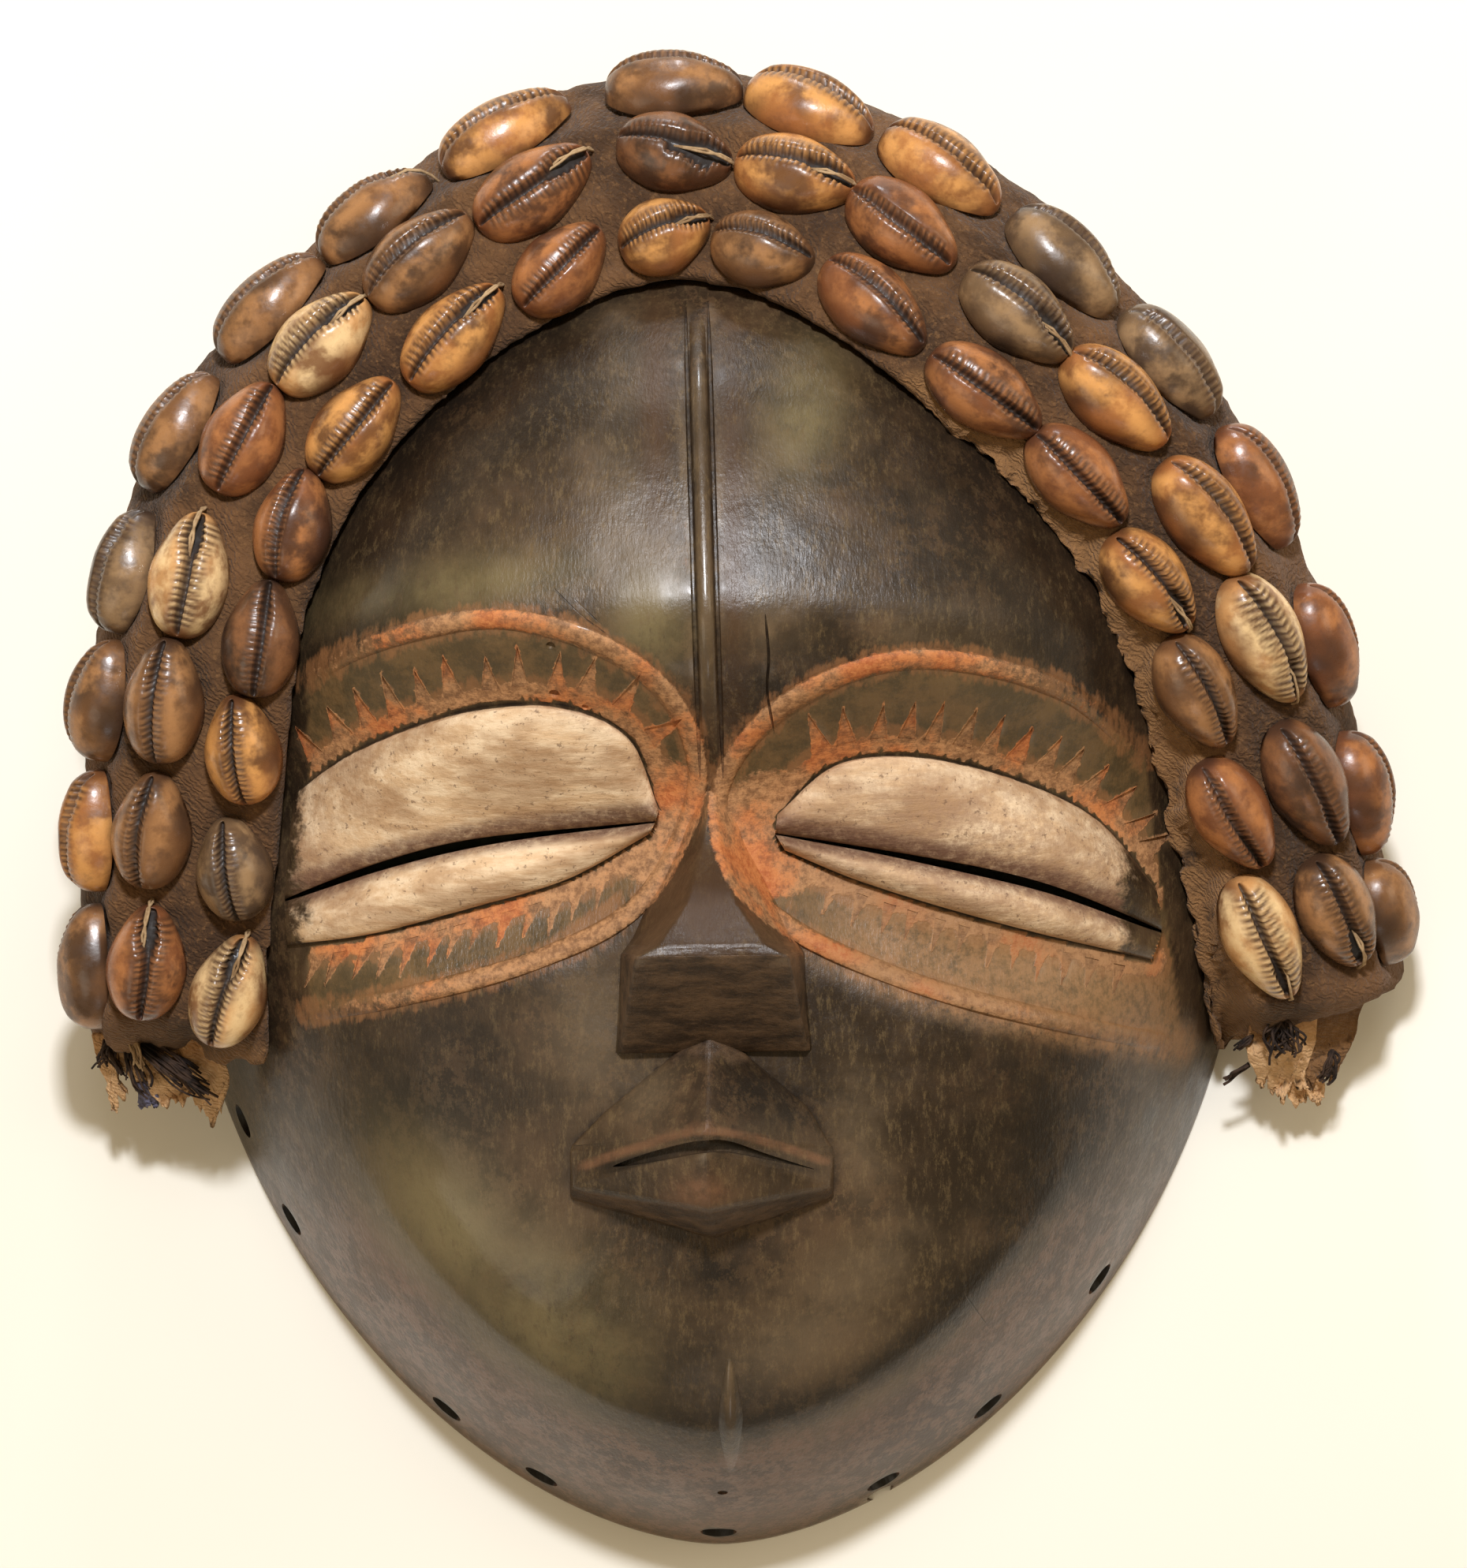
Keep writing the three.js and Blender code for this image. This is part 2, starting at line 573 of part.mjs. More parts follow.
// How far the cloth rises above a shell's base plane, so that the shell can be lifted clear of it.
function clothAbove(placement, length, width) {
  const toShell = placement.clone().invert();
  let highest = 0;
  for (let i = 0; i <= 320; i++) {
    const { x, y, outX, outY } = edgeAt(i / 320);
    const top = bandTop(i / 320);
    for (let strip = 0; strip < top.length - 1; strip++)
      for (let part = 0; part <= 1; part += 0.25) {
        const out = lerp(top[strip][0], top[strip + 1][0], part);
        const height = lerp(top[strip][1], top[strip + 1][1], part);
        const point = new THREE.Vector3(x + outX * out, y + outY * out, height).applyMatrix4(toShell);
        if (Math.hypot(point.x / (length / 2), point.y / (width / 2)) < 1.02)
          highest = Math.max(highest, point.z);
      }
  }
  return highest;
}

function sewnShells(row, index) {
  const line = rowLine(row, index);
  return row.lengths.map((length, i) => {
    const distance = row.first + row.pitch * i + row.shift[i];
    const at = clamp(line.findIndex((sample) => sample.distance >= distance), 1, line.length - 2);
    const { centre, downhill } = line[at];
    const forward = line[at + 1].centre.clone().sub(line[at - 1].centre).normalize();
    const normal = new THREE.Vector3().crossVectors(forward, downhill).normalize();
    const across = new THREE.Vector3().crossVectors(normal, forward);
    const placement = new THREE.Matrix4().makeBasis(forward, across, normal).setPosition(centre);
    placement.multiply(new THREE.Matrix4().makeRotationZ(degToRad(row.turn[i])));
    const lift = clothAbove(placement, length, row.width) + SHELL_GAP;
    placement.multiply(new THREE.Matrix4().makeTranslation(0, 0, lift));
    const shell = new THREE.Mesh(shellGeometry(length, row.width), SHELLS[row.tones[i]]);
    shell.name = `cowrie_${row.name}_${String(i + 1).padStart(2, "0")}`;
    placement.decompose(shell.position, shell.quaternion, shell.scale);
    return shell;
  });
}

// The torn ends

function frayedEnd({ name, from, to, drop, z, thickness }) {
  const hem = Array.from({ length: 2 * FRAY_TEETH + 1 }, (_, i) => {
    const part = i / (2 * FRAY_TEETH);
    const length = drop * (i % 2 ? 1 : 0.72) * (0.8 + 0.2 * Math.sin(i * 1.9));
    return new THREE.Vector2(lerp(to[0], from[0], 0.04 + 0.92 * part), lerp(to[1], from[1], part) - length);
  });
  const outline = new THREE.Shape([new THREE.Vector2(...from), new THREE.Vector2(...to), ...hem].reverse());
  const geometry = new THREE.ExtrudeGeometry(outline, { depth: thickness, bevelEnabled: false });
  const tuft = new THREE.Mesh(geometryOfSolid(solidOf(geometry)), FRAYED_CLOTH);
  tuft.name = name;
  tuft.position.z = z;
  return tuft;
}

function named(name, solid, material) {
  const mesh = new THREE.Mesh(geometryOfSolid(solid), material);
  mesh.name = name;
  return mesh;
}

const mask = new THREE.Group();
mask.add(
  named("wooden_mask", carvedMask(), WOOD),
  named("cloth_headband", headband(), CLOTH),
  ...ROWS.flatMap(sewnShells),
  ...FRAYS.map(frayedEnd),
);

// The origin is below the middle of the mask.
const middle = new THREE.Box3().setFromObject(mask, true).getCenter(new THREE.Vector3());
mask.position.set(-middle.x, -middle.y, 0);

export default mask;
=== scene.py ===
import math
import random

import bpy
import numpy as np
from mathutils import Matrix, Vector, kdtree, noise


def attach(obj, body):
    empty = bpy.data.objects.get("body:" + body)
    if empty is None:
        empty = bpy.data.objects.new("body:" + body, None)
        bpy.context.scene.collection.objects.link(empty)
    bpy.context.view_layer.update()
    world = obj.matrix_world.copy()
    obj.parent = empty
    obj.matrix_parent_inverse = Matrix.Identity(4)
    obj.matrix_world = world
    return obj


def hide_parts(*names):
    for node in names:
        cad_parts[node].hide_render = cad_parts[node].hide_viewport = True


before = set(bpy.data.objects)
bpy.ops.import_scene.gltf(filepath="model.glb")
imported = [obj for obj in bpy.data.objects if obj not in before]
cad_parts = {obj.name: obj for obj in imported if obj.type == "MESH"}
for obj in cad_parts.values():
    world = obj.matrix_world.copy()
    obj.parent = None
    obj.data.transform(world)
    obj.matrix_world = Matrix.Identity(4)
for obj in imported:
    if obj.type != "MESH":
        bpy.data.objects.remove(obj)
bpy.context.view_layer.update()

MM = 0.001
# The wood was laid out round its own centre line. This is where that lies in the part's frame.
LAYOUT = (-5.04, 4.92, 0)

# The carved form, as in the solids
RIM = {"centre_y": -20, "half_width": 92, "top": 125, "bottom": 112, "top_power": 2, "bottom_power": 1.75}
CHEEK_HEIGHT = 66
FOREHEAD_HEIGHT = 90
BROW_FOOT_Y = -8
BROW_TOP_Y = 30
WALL = 9
CREST_WALL = 10
SOCKET_DEPTH = 4
LEFT_EYE = {
    "side": -1,
    "socket": (-39, -3, 40, 30, 0.2),
    "slit": [(-9, -6), (-39, -9.2), (-54, -12.7), (-71, -18.4)],
    "upper_lid": [(-8.4, -4), (-13, 8), (-23, 13), (-38.5, 12.8), (-58, 6.6), (-69, 0)],
    "lower_lid": [(-10, -8), (-23.5, -15.4), (-40, -20.2), (-56, -24.2), (-70.5, -26)],
    "bead": [(-66, 18.2), (-55.5, 23), (-34, 26.8), (-17.5, 22.6), (-6, 13.6), (-2, 2), (-5.5, -10),
             (-13, -20.4), (-28, -28), (-51, -34.2), (-67, -37)],
    "upper_teeth": (12, 0.0),
    "lower_teeth": (13, 3.5),
}
RIGHT_EYE = {
    "side": 1,
    "socket": (43, -12, 42, 28, -0.26),
    "slit": [(10.4, -8.2), (33, -12.5), (55, -17.8), (75, -25.6)],
    "upper_lid": [(10.8, -5), (20, 3), (31, 4.6), (49, 0.8), (64, -6.5), (74, -18)],
    "lower_lid": [(12, -11), (24.5, -16.4), (48.5, -24), (73, -30.3)],
    "bead": [(72, 3.5), (58.5, 14), (36, 19.6), (21.5, 17.3), (8, 9.2), (1.4, -1.5), (3, -13.5),
             (12, -23), (33, -32.9), (66, -42), (79, -45)],
    "upper_teeth": (14, 1.0),
    "lower_teeth": (12, 0.0),
}
EYES = [LEFT_EYE, RIGHT_EYE]
SLIT_WIDTH = 1.6
UPPER_LID_BULGE = 6.5
LOWER_LID_BULGE = 4.6
BEAD_WIDTH = 3.8
BEAD_HEIGHT = 1.1
TOOTH_DEPTH = 0.55
# Start above the lid, length and width of a tooth
UPPER_TOOTH = (2.4, 6, 3.2)
LOWER_TOOTH = (1.8, 5, 2.2)
# Along the nose: y, half width at the foot, half width on top, height
NOSE = [(-1, 1.5, 0.4, 0.6), (-10, 6, 1.4, 7), (-19, 10.5, 4, 15), (-25.5, 13.5, 8.5, 20.5),
        (-27.5, 15, 12.2, 21), (-43.5, 16.2, 15, 2)]
MOUTH = {
    "apex": (-0.5, -38.9, 2),
    "left side": (-17.8, -53, 1.4),
    "left shoulder": (-23.6, -58.8, 1.2),
    "left corner": (-23.2, -65, 4.6),
    "left heel": (-23.8, -67.6, 0.2),
    "right side": (15.2, -52.6, 1.4),
    "right shoulder": (19.4, -60, 1.2),
    "right corner": (18.5, -65.4, 4.6),
    "right heel": (19.2, -68, 0.2),
    "upper peak": (-1.2, -55.6, 17),
    "lip peak": (-1.1, -57.6, 16),
    "lower peak": (-1, -68.2, 14),
    "foot": (-0.6, -74.3, 0),
}
MOUTH_FACETS = [
    ("apex", "left side", "upper peak"), ("left side", "left shoulder", "upper peak"),
    ("right side", "apex", "upper peak"), ("right shoulder", "right side", "upper peak"),
    ("left shoulder", "lip peak", "upper peak"), ("lip peak", "right shoulder", "upper peak"),
    ("left shoulder", "left corner", "lip peak"), ("right corner", "right shoulder", "lip peak"),
    ("left corner", "lower peak", "lip peak"), ("lower peak", "right corner", "lip peak"),
    ("left shoulder", "left heel", "left corner"), ("right shoulder", "right corner", "right heel"),
    ("left corner", "left heel", "foot", "lower peak"), ("foot", "right heel", "right corner", "lower peak"),
]
MOUTH_LINE = [(-16.5, -61.6), (-9, -59.6), (-2, -58), (1.5, -58), (8, -60), (16, -62.6)]
RIM_HOLES = [(-84, -58), (-75, -75), (-47, -107), (-30, -117.5), (-0.5, -132), (27.5, -119.5),
             (46, -107.5), (67, -87)]
RIM_HOLE_RADIUS = 2.5
# x, y and radius
WORM_HOLES = [(-25.2, 22.3, 0.8), (-24.9, 14.8, 0.9), (-20, 12.6, 0.6), (0.4, -119.5, 0.9)]
RIM_HOLE_HEIGHT = 8
# From its upper to its lower end
FOREHEAD_RIDGE = ((-1.3, 79, 0), (0.2, 1, 0))
CHIN_KEEL = ((2.0, -94, 0), (1.9, -116, 0))
CRACK = [(9.1, 27), (9.6, 20), (9.3, 15), (10.4, 8)]
SCRATCHES = [[(41, -85), (45, -91)], [(-25, 32), (-20, 27), (-16, 24)], [(-21.5, 30), (-17, 25.6)]]


# Hand tools

def leave_edit():
    bpy.ops.object.mode_set(mode="OBJECT")


def deselect():
    if bpy.context.object and bpy.context.object.mode != "OBJECT":
        leave_edit()
    bpy.ops.object.select_all(action="DESELECT")


def take(piece):
    """Makes one piece the selected and active one."""
    deselect()
    piece.select_set(True)
    bpy.context.view_layer.objects.active = piece


def edit(piece):
    take(piece)
    bpy.ops.object.mode_set(mode="EDIT")
    bpy.ops.mesh.select_all(action="SELECT")


def made(name):
    """The piece that was just added, with its place moved into its mesh."""
    piece = bpy.context.object
    if piece.mode != "OBJECT":
        leave_edit()
    bpy.ops.object.transform_apply(location=True, rotation=True, scale=True)
    piece.name = piece.data.name = name
    return piece


def new_piece(name, data):
    piece = bpy.data.objects.new(name, data)
    bpy.context.scene.collection.objects.link(piece)
    return piece


def vectors(source, key):
    values = np.empty(len(source) * 3, dtype=np.float32)
    source.foreach_get(key, values)
    return values.reshape(-1, 3).astype(float)


def places(piece):
    """A piece's points as an array, in its own units."""
    return vectors(piece.data.vertices, "co")


def set_places(piece, points):
    piece.data.vertices.foreach_set("co", np.asarray(points, dtype=np.float32).ravel())
    piece.data.update()


def set_attribute(piece, name, values):
    layer = piece.data.attributes.new(name, "FLOAT", "POINT")
    layer.data.foreach_set("value", np.asarray(values, dtype=np.float32))


def apply_modifier(piece, kind, **settings):
    take(piece)
    modifier = piece.modifiers.new(kind.lower(), kind)
    for key, value in settings.items():
        setattr(modifier, key, value)
    bpy.ops.object.modifier_apply(modifier=modifier.name)


def soften_corners(piece, least_angle):
    """Takes the sharpness off a carved form's corners."""
    limit = math.radians(least_angle)
    apply_modifier(piece, "BEVEL", width=0.7, segments=3, limit_method="ANGLE", angle_limit=limit)


def combine(piece, tool, operation):
    """Joins a closed tool to a closed piece, or cuts it out, and uses the tool up."""
    apply_modifier(piece, "BOOLEAN", operation=operation, solver="MANIFOLD", object=tool)
    bpy.data.objects.remove(tool, do_unlink=True)


def joined(pieces):
    take(pieces[0])
    for piece in pieces:
        piece.select_set(True)
    if len(pieces) > 1:
        bpy.ops.object.join()
    return bpy.context.object


def face_out(piece):
    edit(piece)
    bpy.ops.mesh.normals_make_consistent(inside=False)
    leave_edit()


def sheet_of(name, columns, rows, shape):
    """A grid of columns by rows cells that shape(u, v) lays out, u and v running from 0 to 1."""
    deselect()
    bpy.ops.mesh.primitive_grid_add(x_subdivisions=columns, y_subdivisions=rows, size=1)
    piece = made(name)
    flat = places(piece)
    set_places(piece, shape(flat[:, 0] + 0.5, flat[:, 1] + 0.5))
    return piece


def slab(piece, height):
    """Extrudes a whole sheet straight up into a closed slab, or down where the height is below zero."""
    edit(piece)
    bpy.ops.mesh.extrude_region_move(TRANSFORM_OT_translate={"value": (0, 0, height)})
    leave_edit()
    face_out(piece)
    return piece


def place_in_frame(piece):
    """From millimetres on the wood's layout to metres in the part's frame."""
    set_places(piece, (places(piece) + LAYOUT) * MM)


def keep(piece, nodes, material):
    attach(piece, "root")
    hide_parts(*nodes)
    piece.data.materials.clear()
    piece.data.materials.append(material)


def shade_smooth(piece):
    take(piece)
    bpy.ops.object.shade_smooth()


# Lines and masks on the face

def smooth_line(points, count):
    """count + 1 evenly spaced points on a curve through the given ones."""
    knots = [np.append(point, 0.0) if len(point) == 2 else np.array(point, float) for point in points]
    chain = [2 * knots[0] - knots[1], *knots, 2 * knots[-1] - knots[-2]]
    dense = []
    for a, b, c, d in zip(chain, chain[1:], chain[2:], chain[3:]):
        t1 = np.linalg.norm(b - a) ** 0.5
        t2 = t1 + np.linalg.norm(c - b) ** 0.5
        t3 = t2 + np.linalg.norm(d - c) ** 0.5
        for t in np.linspace(t1, t2, 16, endpoint=False):
            ab = a + (b - a) * t / t1
            bc = b + (c - b) * (t - t1) / (t2 - t1)
            cd = c + (d - c) * (t - t2) / (t3 - t2)
            abc = ab + (bc - ab) * t / t2
            bcd = bc + (cd - bc) * (t - t1) / (t3 - t1)
            dense.append(abc + (bcd - abc) * (t - t1) / (t2 - t1))
    dense = np.array([*dense, knots[-1]])
    length = np.append(0, np.cumsum(np.linalg.norm(np.diff(dense, axis=0), axis=1)))
    even = np.linspace(0, length[-1], count + 1)
    return np.stack([np.interp(even, length, dense[:, axis]) for axis in range(3)], axis=1)


def on_line(line, part):
    """Points at the given parts of an evenly spaced line."""
    at = np.clip(part, 0, 1) * (len(line) - 1)
    return np.stack([np.interp(at, np.arange(len(line)), line[:, axis]) for axis in range(3)], axis=-1)


def distance_to(points, line):
    """Each point's distance to a line, both seen from the front."""
    nearest = np.full(len(points), np.inf)
    for a, b in zip(line[:-1, :2], line[1:, :2]):
        run = b - a
        part = np.clip((points[:, :2] - a) @ run / max(run @ run, 1e-9), 0, 1)
        nearest = np.minimum(nearest, np.hypot(*(points[:, :2] - a - part[:, None] * run).T))
    return nearest


def inside(points, outline):
    """Which points lie inside a closed outline, seen from the front."""
    within = np.zeros(len(points), dtype=bool)
    x, y = points[:, 0], points[:, 1]
    for a, b in zip(outline, np.roll(outline, -1, axis=0)):
        if a[1] == b[1]:
            continue
        crosses = (a[1] > y) != (b[1] > y)
        within ^= crosses & (x < (b[0] - a[0]) * (y - a[1]) / (b[1] - a[1]) + a[0])
    return within


def smooth_step(value, low, high):
    part = np.clip((value - low) / (high - low), 0, 1)
    return part * part * (3 - 2 * part)


def outline_ratio(x, y, inset=0):
    dy = y - RIM["centre_y"]
    power = np.where(dy > 0, RIM["top_power"], RIM["bottom_power"])
    reach = np.where(dy > 0, RIM["top"], RIM["bottom"]) - inset
    return (np.abs(x / (RIM["half_width"] - inset)) ** power + np.abs(dy / reach) ** power) ** (1 / power)


def dome_height(x, y, inset, crest_wall):
    ratio = np.minimum(outline_ratio(x, y, inset), 1)
    rise = smooth_step(y, BROW_FOOT_Y, BROW_TOP_Y)
    crest = CHEEK_HEIGHT + (FOREHEAD_HEIGHT - CHEEK_HEIGHT) * rise - crest_wall
    return crest * (1 - 0.3 * ratio**2 - 0.7 * ratio**6)


def face_height(x, y):
    height = dome_height(x, y, 0, 0)
    for eye in EYES:
        centre_x, centre_y, half_length, half_height, turn = eye["socket"]
        dx = x - centre_x
        dy = y - centre_y
        along = (dx * math.cos(turn) + dy * math.sin(turn)) / half_length
        across = (dy * math.cos(turn) - dx * math.sin(turn)) / half_height
        height = height - SOCKET_DEPTH * (1 - smooth_step(np.hypot(along, across), 0.55, 1.05))
    return np.maximum(height, 0)


def worked_height(x, y):
    """The face with the blunt shoulder that runs round the chin, where its front turns towards the rim."""
    ratio = outline_ratio(x, y)
    rising = np.clip((ratio - 0.55) / 0.225, 0, 1) ** 1.6
    falling = np.clip((0.965 - ratio) / 0.19, 0, 1)
    return face_height(x, y) + 3.4 * rising * falling * smooth_step(-y, 45, 85)


def unevenness(points, grain, seed):
    """Smooth noise from -1 to 1 at each point, with bumps about grain across."""
    return np.array([noise.noise(Vector(point) / grain + Vector((seed, 0, 0))) for point in points])


# The carved wood

def dome(name, rings, spokes, inset, height):
    """A closed dome over the rim's outline, with a flat underside."""
    def shape(u, v):
        ratio = 1 - (1 - u) ** 1.5
        angle = 2 * np.pi * v
        x = np.cos(angle)
        dy = np.sin(angle)
        scale = ratio / outline_ratio(x, RIM["centre_y"] + dy, inset)
        x = x * scale
        y = RIM["centre_y"] + dy * scale
        return np.stack([x, y, np.where(u > 1 - 1e-6, 0, height(x, y))], axis=1)

    piece = sheet_of(name, rings, spokes, shape)
    edit(piece)
    bpy.ops.mesh.remove_doubles(threshold=0.001)
    bpy.ops.mesh.select_all(action="DESELECT")
    bpy.ops.mesh.select_non_manifold()
    bpy.ops.mesh.edge_face_add()
    leave_edit()
    face_out(piece)
    return piece


def on_face(x, y, up):
    """Places at a height over the worked face."""
    return np.stack([x, y, worked_height(x, y) + up], axis=1)


def hand_carved(x, y):
    """The face's height with the shallow flats that the adze and knife left."""
    points = np.stack([x, y, np.zeros_like(x)], axis=1)
    flats = 0.3 * unevenness(points * (1, 0.6, 1), 13, 3.1) + 0.12 * unevenness(points, 5, 8.4)
    return worked_height(x, y) + flats * smooth_step(1 - outline_ratio(x, y), 0, 0.1)


def carve_by_hand(piece):
    """Divides a raised form finely and makes its planes a little uneven, as a knife leaves them."""
    edit(piece)
    bpy.ops.mesh.quads_convert_to_tris()
    bpy.ops.mesh.subdivide(number_cuts=8)
    leave_edit()
    points = places(piece)
    points[:, 2] += 0.22 * unevenness(points, 5, 2.7) + 0.1 * unevenness(points, 2.2, 6.1)
    set_places(piece, points)
    return piece


def adzed_hollow(x, y):
    """The hollow's height with the scoops of the adze."""
    height = dome_height(x, y, WALL, CREST_WALL)
    scoops = [noise.voronoi(Vector((px / 13, py / 19, 0.4)))[0][0] for px, py in zip(x, y)]
    return height - 1.1 * np.array(scoops) ** 1.3 * smooth_step(1 - outline_ratio(x, y, WALL), 0, 0.12)


def lid(name, eye, outline, bulge):
    """An eyelid stretched from the slit to its own outline, full in the middle and rounded at its edge."""
    slit_line = smooth_line(eye["slit"], 80)
    outer_line = smooth_line(eye[outline], 80)

    def shape(u, v):
        inner = on_line(slit_line, u)
        outer = on_line(outer_line, u)
        x, y, _ = (inner + (outer - inner) * v[:, None]).T
        across = np.sin(np.pi * (3 * v + 0.35) / 3.7)
        along = np.sin(np.pi * (10 * u + 1) / 12) ** 0.5
        full = 0.3 + bulge * across * along
        near_outline = np.clip((1 - v) / 0.09, 0, 1)
        near_slit = np.clip(v / 0.12, 0, 1)
        height = -0.7 + (full + 0.7) * np.sqrt(1 - (1 - near_outline) ** 2)
        height -= 1.3 * (1 - np.sqrt(1 - (1 - near_slit) ** 2))
        wear = 0.16 * unevenness(np.stack([x, y, height], axis=1) * (0.5, 1, 1), 5, 2.2)
        return on_face(x, y, height + wear)

    return slab(sheet_of(name, 72, 22, shape), -12)


def half_round(v):
    return np.sqrt(np.clip(1 - (2 * v - 1) ** 2, 0, 1))


def strip_along(line, across, u):
    """x and y at a distance to the left of a line, u of the way along it."""
    ahead = np.gradient(line, axis=0)[:, :2]
    ahead /= np.linalg.norm(ahead, axis=1)[:, None]
    sideways = np.stack([-ahead[:, 1], ahead[:, 0], np.zeros(len(line))], axis=1)
    return (on_line(line, u) + on_line(sideways, u) * across[:, None]).T[:2]


def rounded_bar(name, line, width, height, taper=0.12):
    """A rounded ridge along a line on the face that runs out at both ends. A long taper narrows it too."""
    slender = taper > 0.3

    def shape(u, v):
        ends = np.sqrt(np.clip(np.minimum(u, 1 - u) / taper, 0.01, 1))
        x, y = strip_along(line, (v - 0.5) * width * (ends if slender else 1), u)
        section = half_round(v) ** (2 if slender else 1)
        return on_face(x, y, (height + 0.5) * section * ends - 0.5)

    return slab(sheet_of(name, 2 * len(line), 8, shape), -4)


def tooth_corners(eye, outline, count_and_lean, side, size):
    """Corners of each notch in a row on a lid's outline, as two at its base and its tip."""
    count, lean = count_and_lean
    start, length, width = size
    line = smooth_line(eye[outline], 100)
    corners = []
    random.seed(count + len(outline))
    for i in range(count):
        place = 0.12 + 0.83 * (i + 0.5 + random.uniform(-0.12, 0.12)) / count
        point, before, after = on_line(line, np.array([place, place - 0.01, place + 0.01]))
        ahead = (after - before) / np.linalg.norm(after - before)
        out = np.array([-ahead[1], ahead[0], 0]) * side
        half = ahead * width * random.uniform(0.42, 0.56)
        base = point + out * start
        tip = base + out * length * random.uniform(0.85, 1.15) + ahead * lean
        corners.append([base - half, base + half, tip])
    return corners


def notch_rows():
    rows = []
    for eye in EYES:
        rows += tooth_corners(eye, "upper_lid", eye["upper_teeth"], eye["side"], UPPER_TOOTH)
        rows += tooth_corners(eye, "lower_lid", eye["lower_teeth"], -eye["side"], LOWER_TOOTH)
    return rows


def notch(corners):
    """One chip-carved notch: a three-sided prism that gets shallower towards its base."""
    deselect()
    bpy.ops.mesh.primitive_cylinder_add(vertices=3, radius=1, depth=2, end_fill_type="NGON")
    piece = made("notch")
    ring = places(piece)
    angles = np.round((np.degrees(np.arctan2(ring[:, 0], ring[:, 1])) % 360) / 120).astype(int) % 3
    points = np.array(corners)[angles]
    points[:, 2] = face_height(points[:, 0], points[:, 1])
    depth = np.where(angles == 2, TOOTH_DEPTH, 0.1)
    points[:, 2] += np.where(ring[:, 2] > 0, 3, -depth)
    set_places(piece, points)
    face_out(piece)
    return piece


def nose():
    """The nose widens from the bridge to a flat tip, and is cut back straight below it."""
    stations = np.array(NOSE)

    def shape(u, v):
        at = (1 - v) * (len(stations) - 1)
        y, foot, top, height = (np.interp(at, np.arange(len(stations)), stations[:, i]) for i in range(4))
        column = np.round(u * 3).astype(int)
        x = np.choose(column, [-foot, -top, top, foot])
        return on_face(x, y, np.choose(column, [-0.5, height, height, -0.5]))

    piece = slab(sheet_of("nose", 3, len(stations) - 1, shape), -26)
    soften_corners(piece, 18)
    return carve_by_hand(piece)


def mouth():
    """The pouting mouth: two blunt facets above the opening and two narrow ones below it."""
    names = list(MOUTH)
    points = [(x, y, float(face_height(np.float64(x), np.float64(y))) + up) for x, y, up in MOUTH.values()]
    piece = new_piece("mouth", bpy.data.meshes.new("mouth"))
    piece.data.from_pydata(points, [], [[names.index(corner) for corner in facet] for facet in MOUTH_FACETS])
    slab(piece, -20)
    soften_corners(piece, 14)
    return carve_by_hand(piece)


def tool_along(name, line, width, deep):
    """A cutter with a rounded bottom that follows a line on the face."""
    def shape(u, v):
        ends = np.sqrt(np.clip(np.minimum(u, 1 - u) / 0.15, 0.02, 1))
        x, y = strip_along(line, (v - 0.5) * width * ends, u)
        return on_face(x, y, -deep * half_round(v) * ends)

    return slab(sheet_of(name, 2 * len(line), 4, shape), 4)


def slit_tool(eye):
    """The cut of an eye goes straight through the wall."""
    line = smooth_line(eye["slit"], 60)

    def shape(u, v):
        x, y, _ = on_line(line, u).T
        gape = SLIT_WIDTH * np.maximum(np.sin(np.pi * u), 0.02) ** 0.4
        gape *= 0.5 + 0.5 * smooth_step(u, 0.15, 0.6)
        return np.stack([x, y + (v - 0.5) * gape, np.full_like(x, FOREHEAD_HEIGHT + 20)], axis=1)

    return slab(sheet_of("slit", 60, 1, shape), -FOREHEAD_HEIGHT - 40)


def mouth_slot():
    """The dark line between the lips."""
    line = smooth_line(MOUTH_LINE, 48)

    def shape(u, v):
        x, y, _ = on_line(line, u).T
        gape = 2.1 * np.maximum(np.sin(np.pi * u**0.8), 0.03) ** 0.8 * (1 - 0.45 * smooth_step(u, 0.5, 0.9))
        peak = np.maximum(0, 1 - np.abs(x + 1.2) / 21)
        return np.stack([x, y + (v - 0.5) * gape, face_height(x, y) + 2.6 + 10.4 * peak], axis=1)

    return slab(sheet_of("mouth slot", 40, 2, shape), 30)


def rim_hole_way(x, y):
    """The way straight out through the rim."""
    x, y = np.float64(x), np.float64(y)
    return Vector((
        float(outline_ratio(x + 1, y) - outline_ratio(x - 1, y)),
        float(outline_ratio(x, y + 1) - outline_ratio(x, y - 1)),
        0,
    )).normalized()


def rim_hole(x, y):
    """A cord hole straight out through the rim, a little longer along the rim than upwards."""
    deselect()
    turn = rim_hole_way(x, y).to_track_quat("Z", "Y").to_euler()
    bpy.ops.mesh.primitive_cylinder_add(
        vertices=28, radius=1, depth=2, location=(x, y, RIM_HOLE_HEIGHT), rotation=turn)
    bpy.ops.transform.resize(value=(1.25 * RIM_HOLE_RADIUS, RIM_HOLE_RADIUS, 2.5 * WALL), orient_type="LOCAL")
    return made("rim hole")


def ball(name, segments, rings, radius, x, y, z):
    deselect()
    bpy.ops.mesh.primitive_uv_sphere_add(
        segments=segments, ring_count=rings, radius=radius, location=(x, y, z))
    return made(name)


def worm_hole(x, y, radius):
    """A small hole that goes a little way into the wood."""
    return ball("worm hole", 12, 8, radius, x, y, float(worked_height(np.float64(x), np.float64(y))))


def broken_edge():
    """The rim is broken out under one of its holes."""
    x, y = RIM_HOLES[5]
    return ball("broken edge", 16, 10, 3.1, x - 0.6, y - 2.4, 1.4)


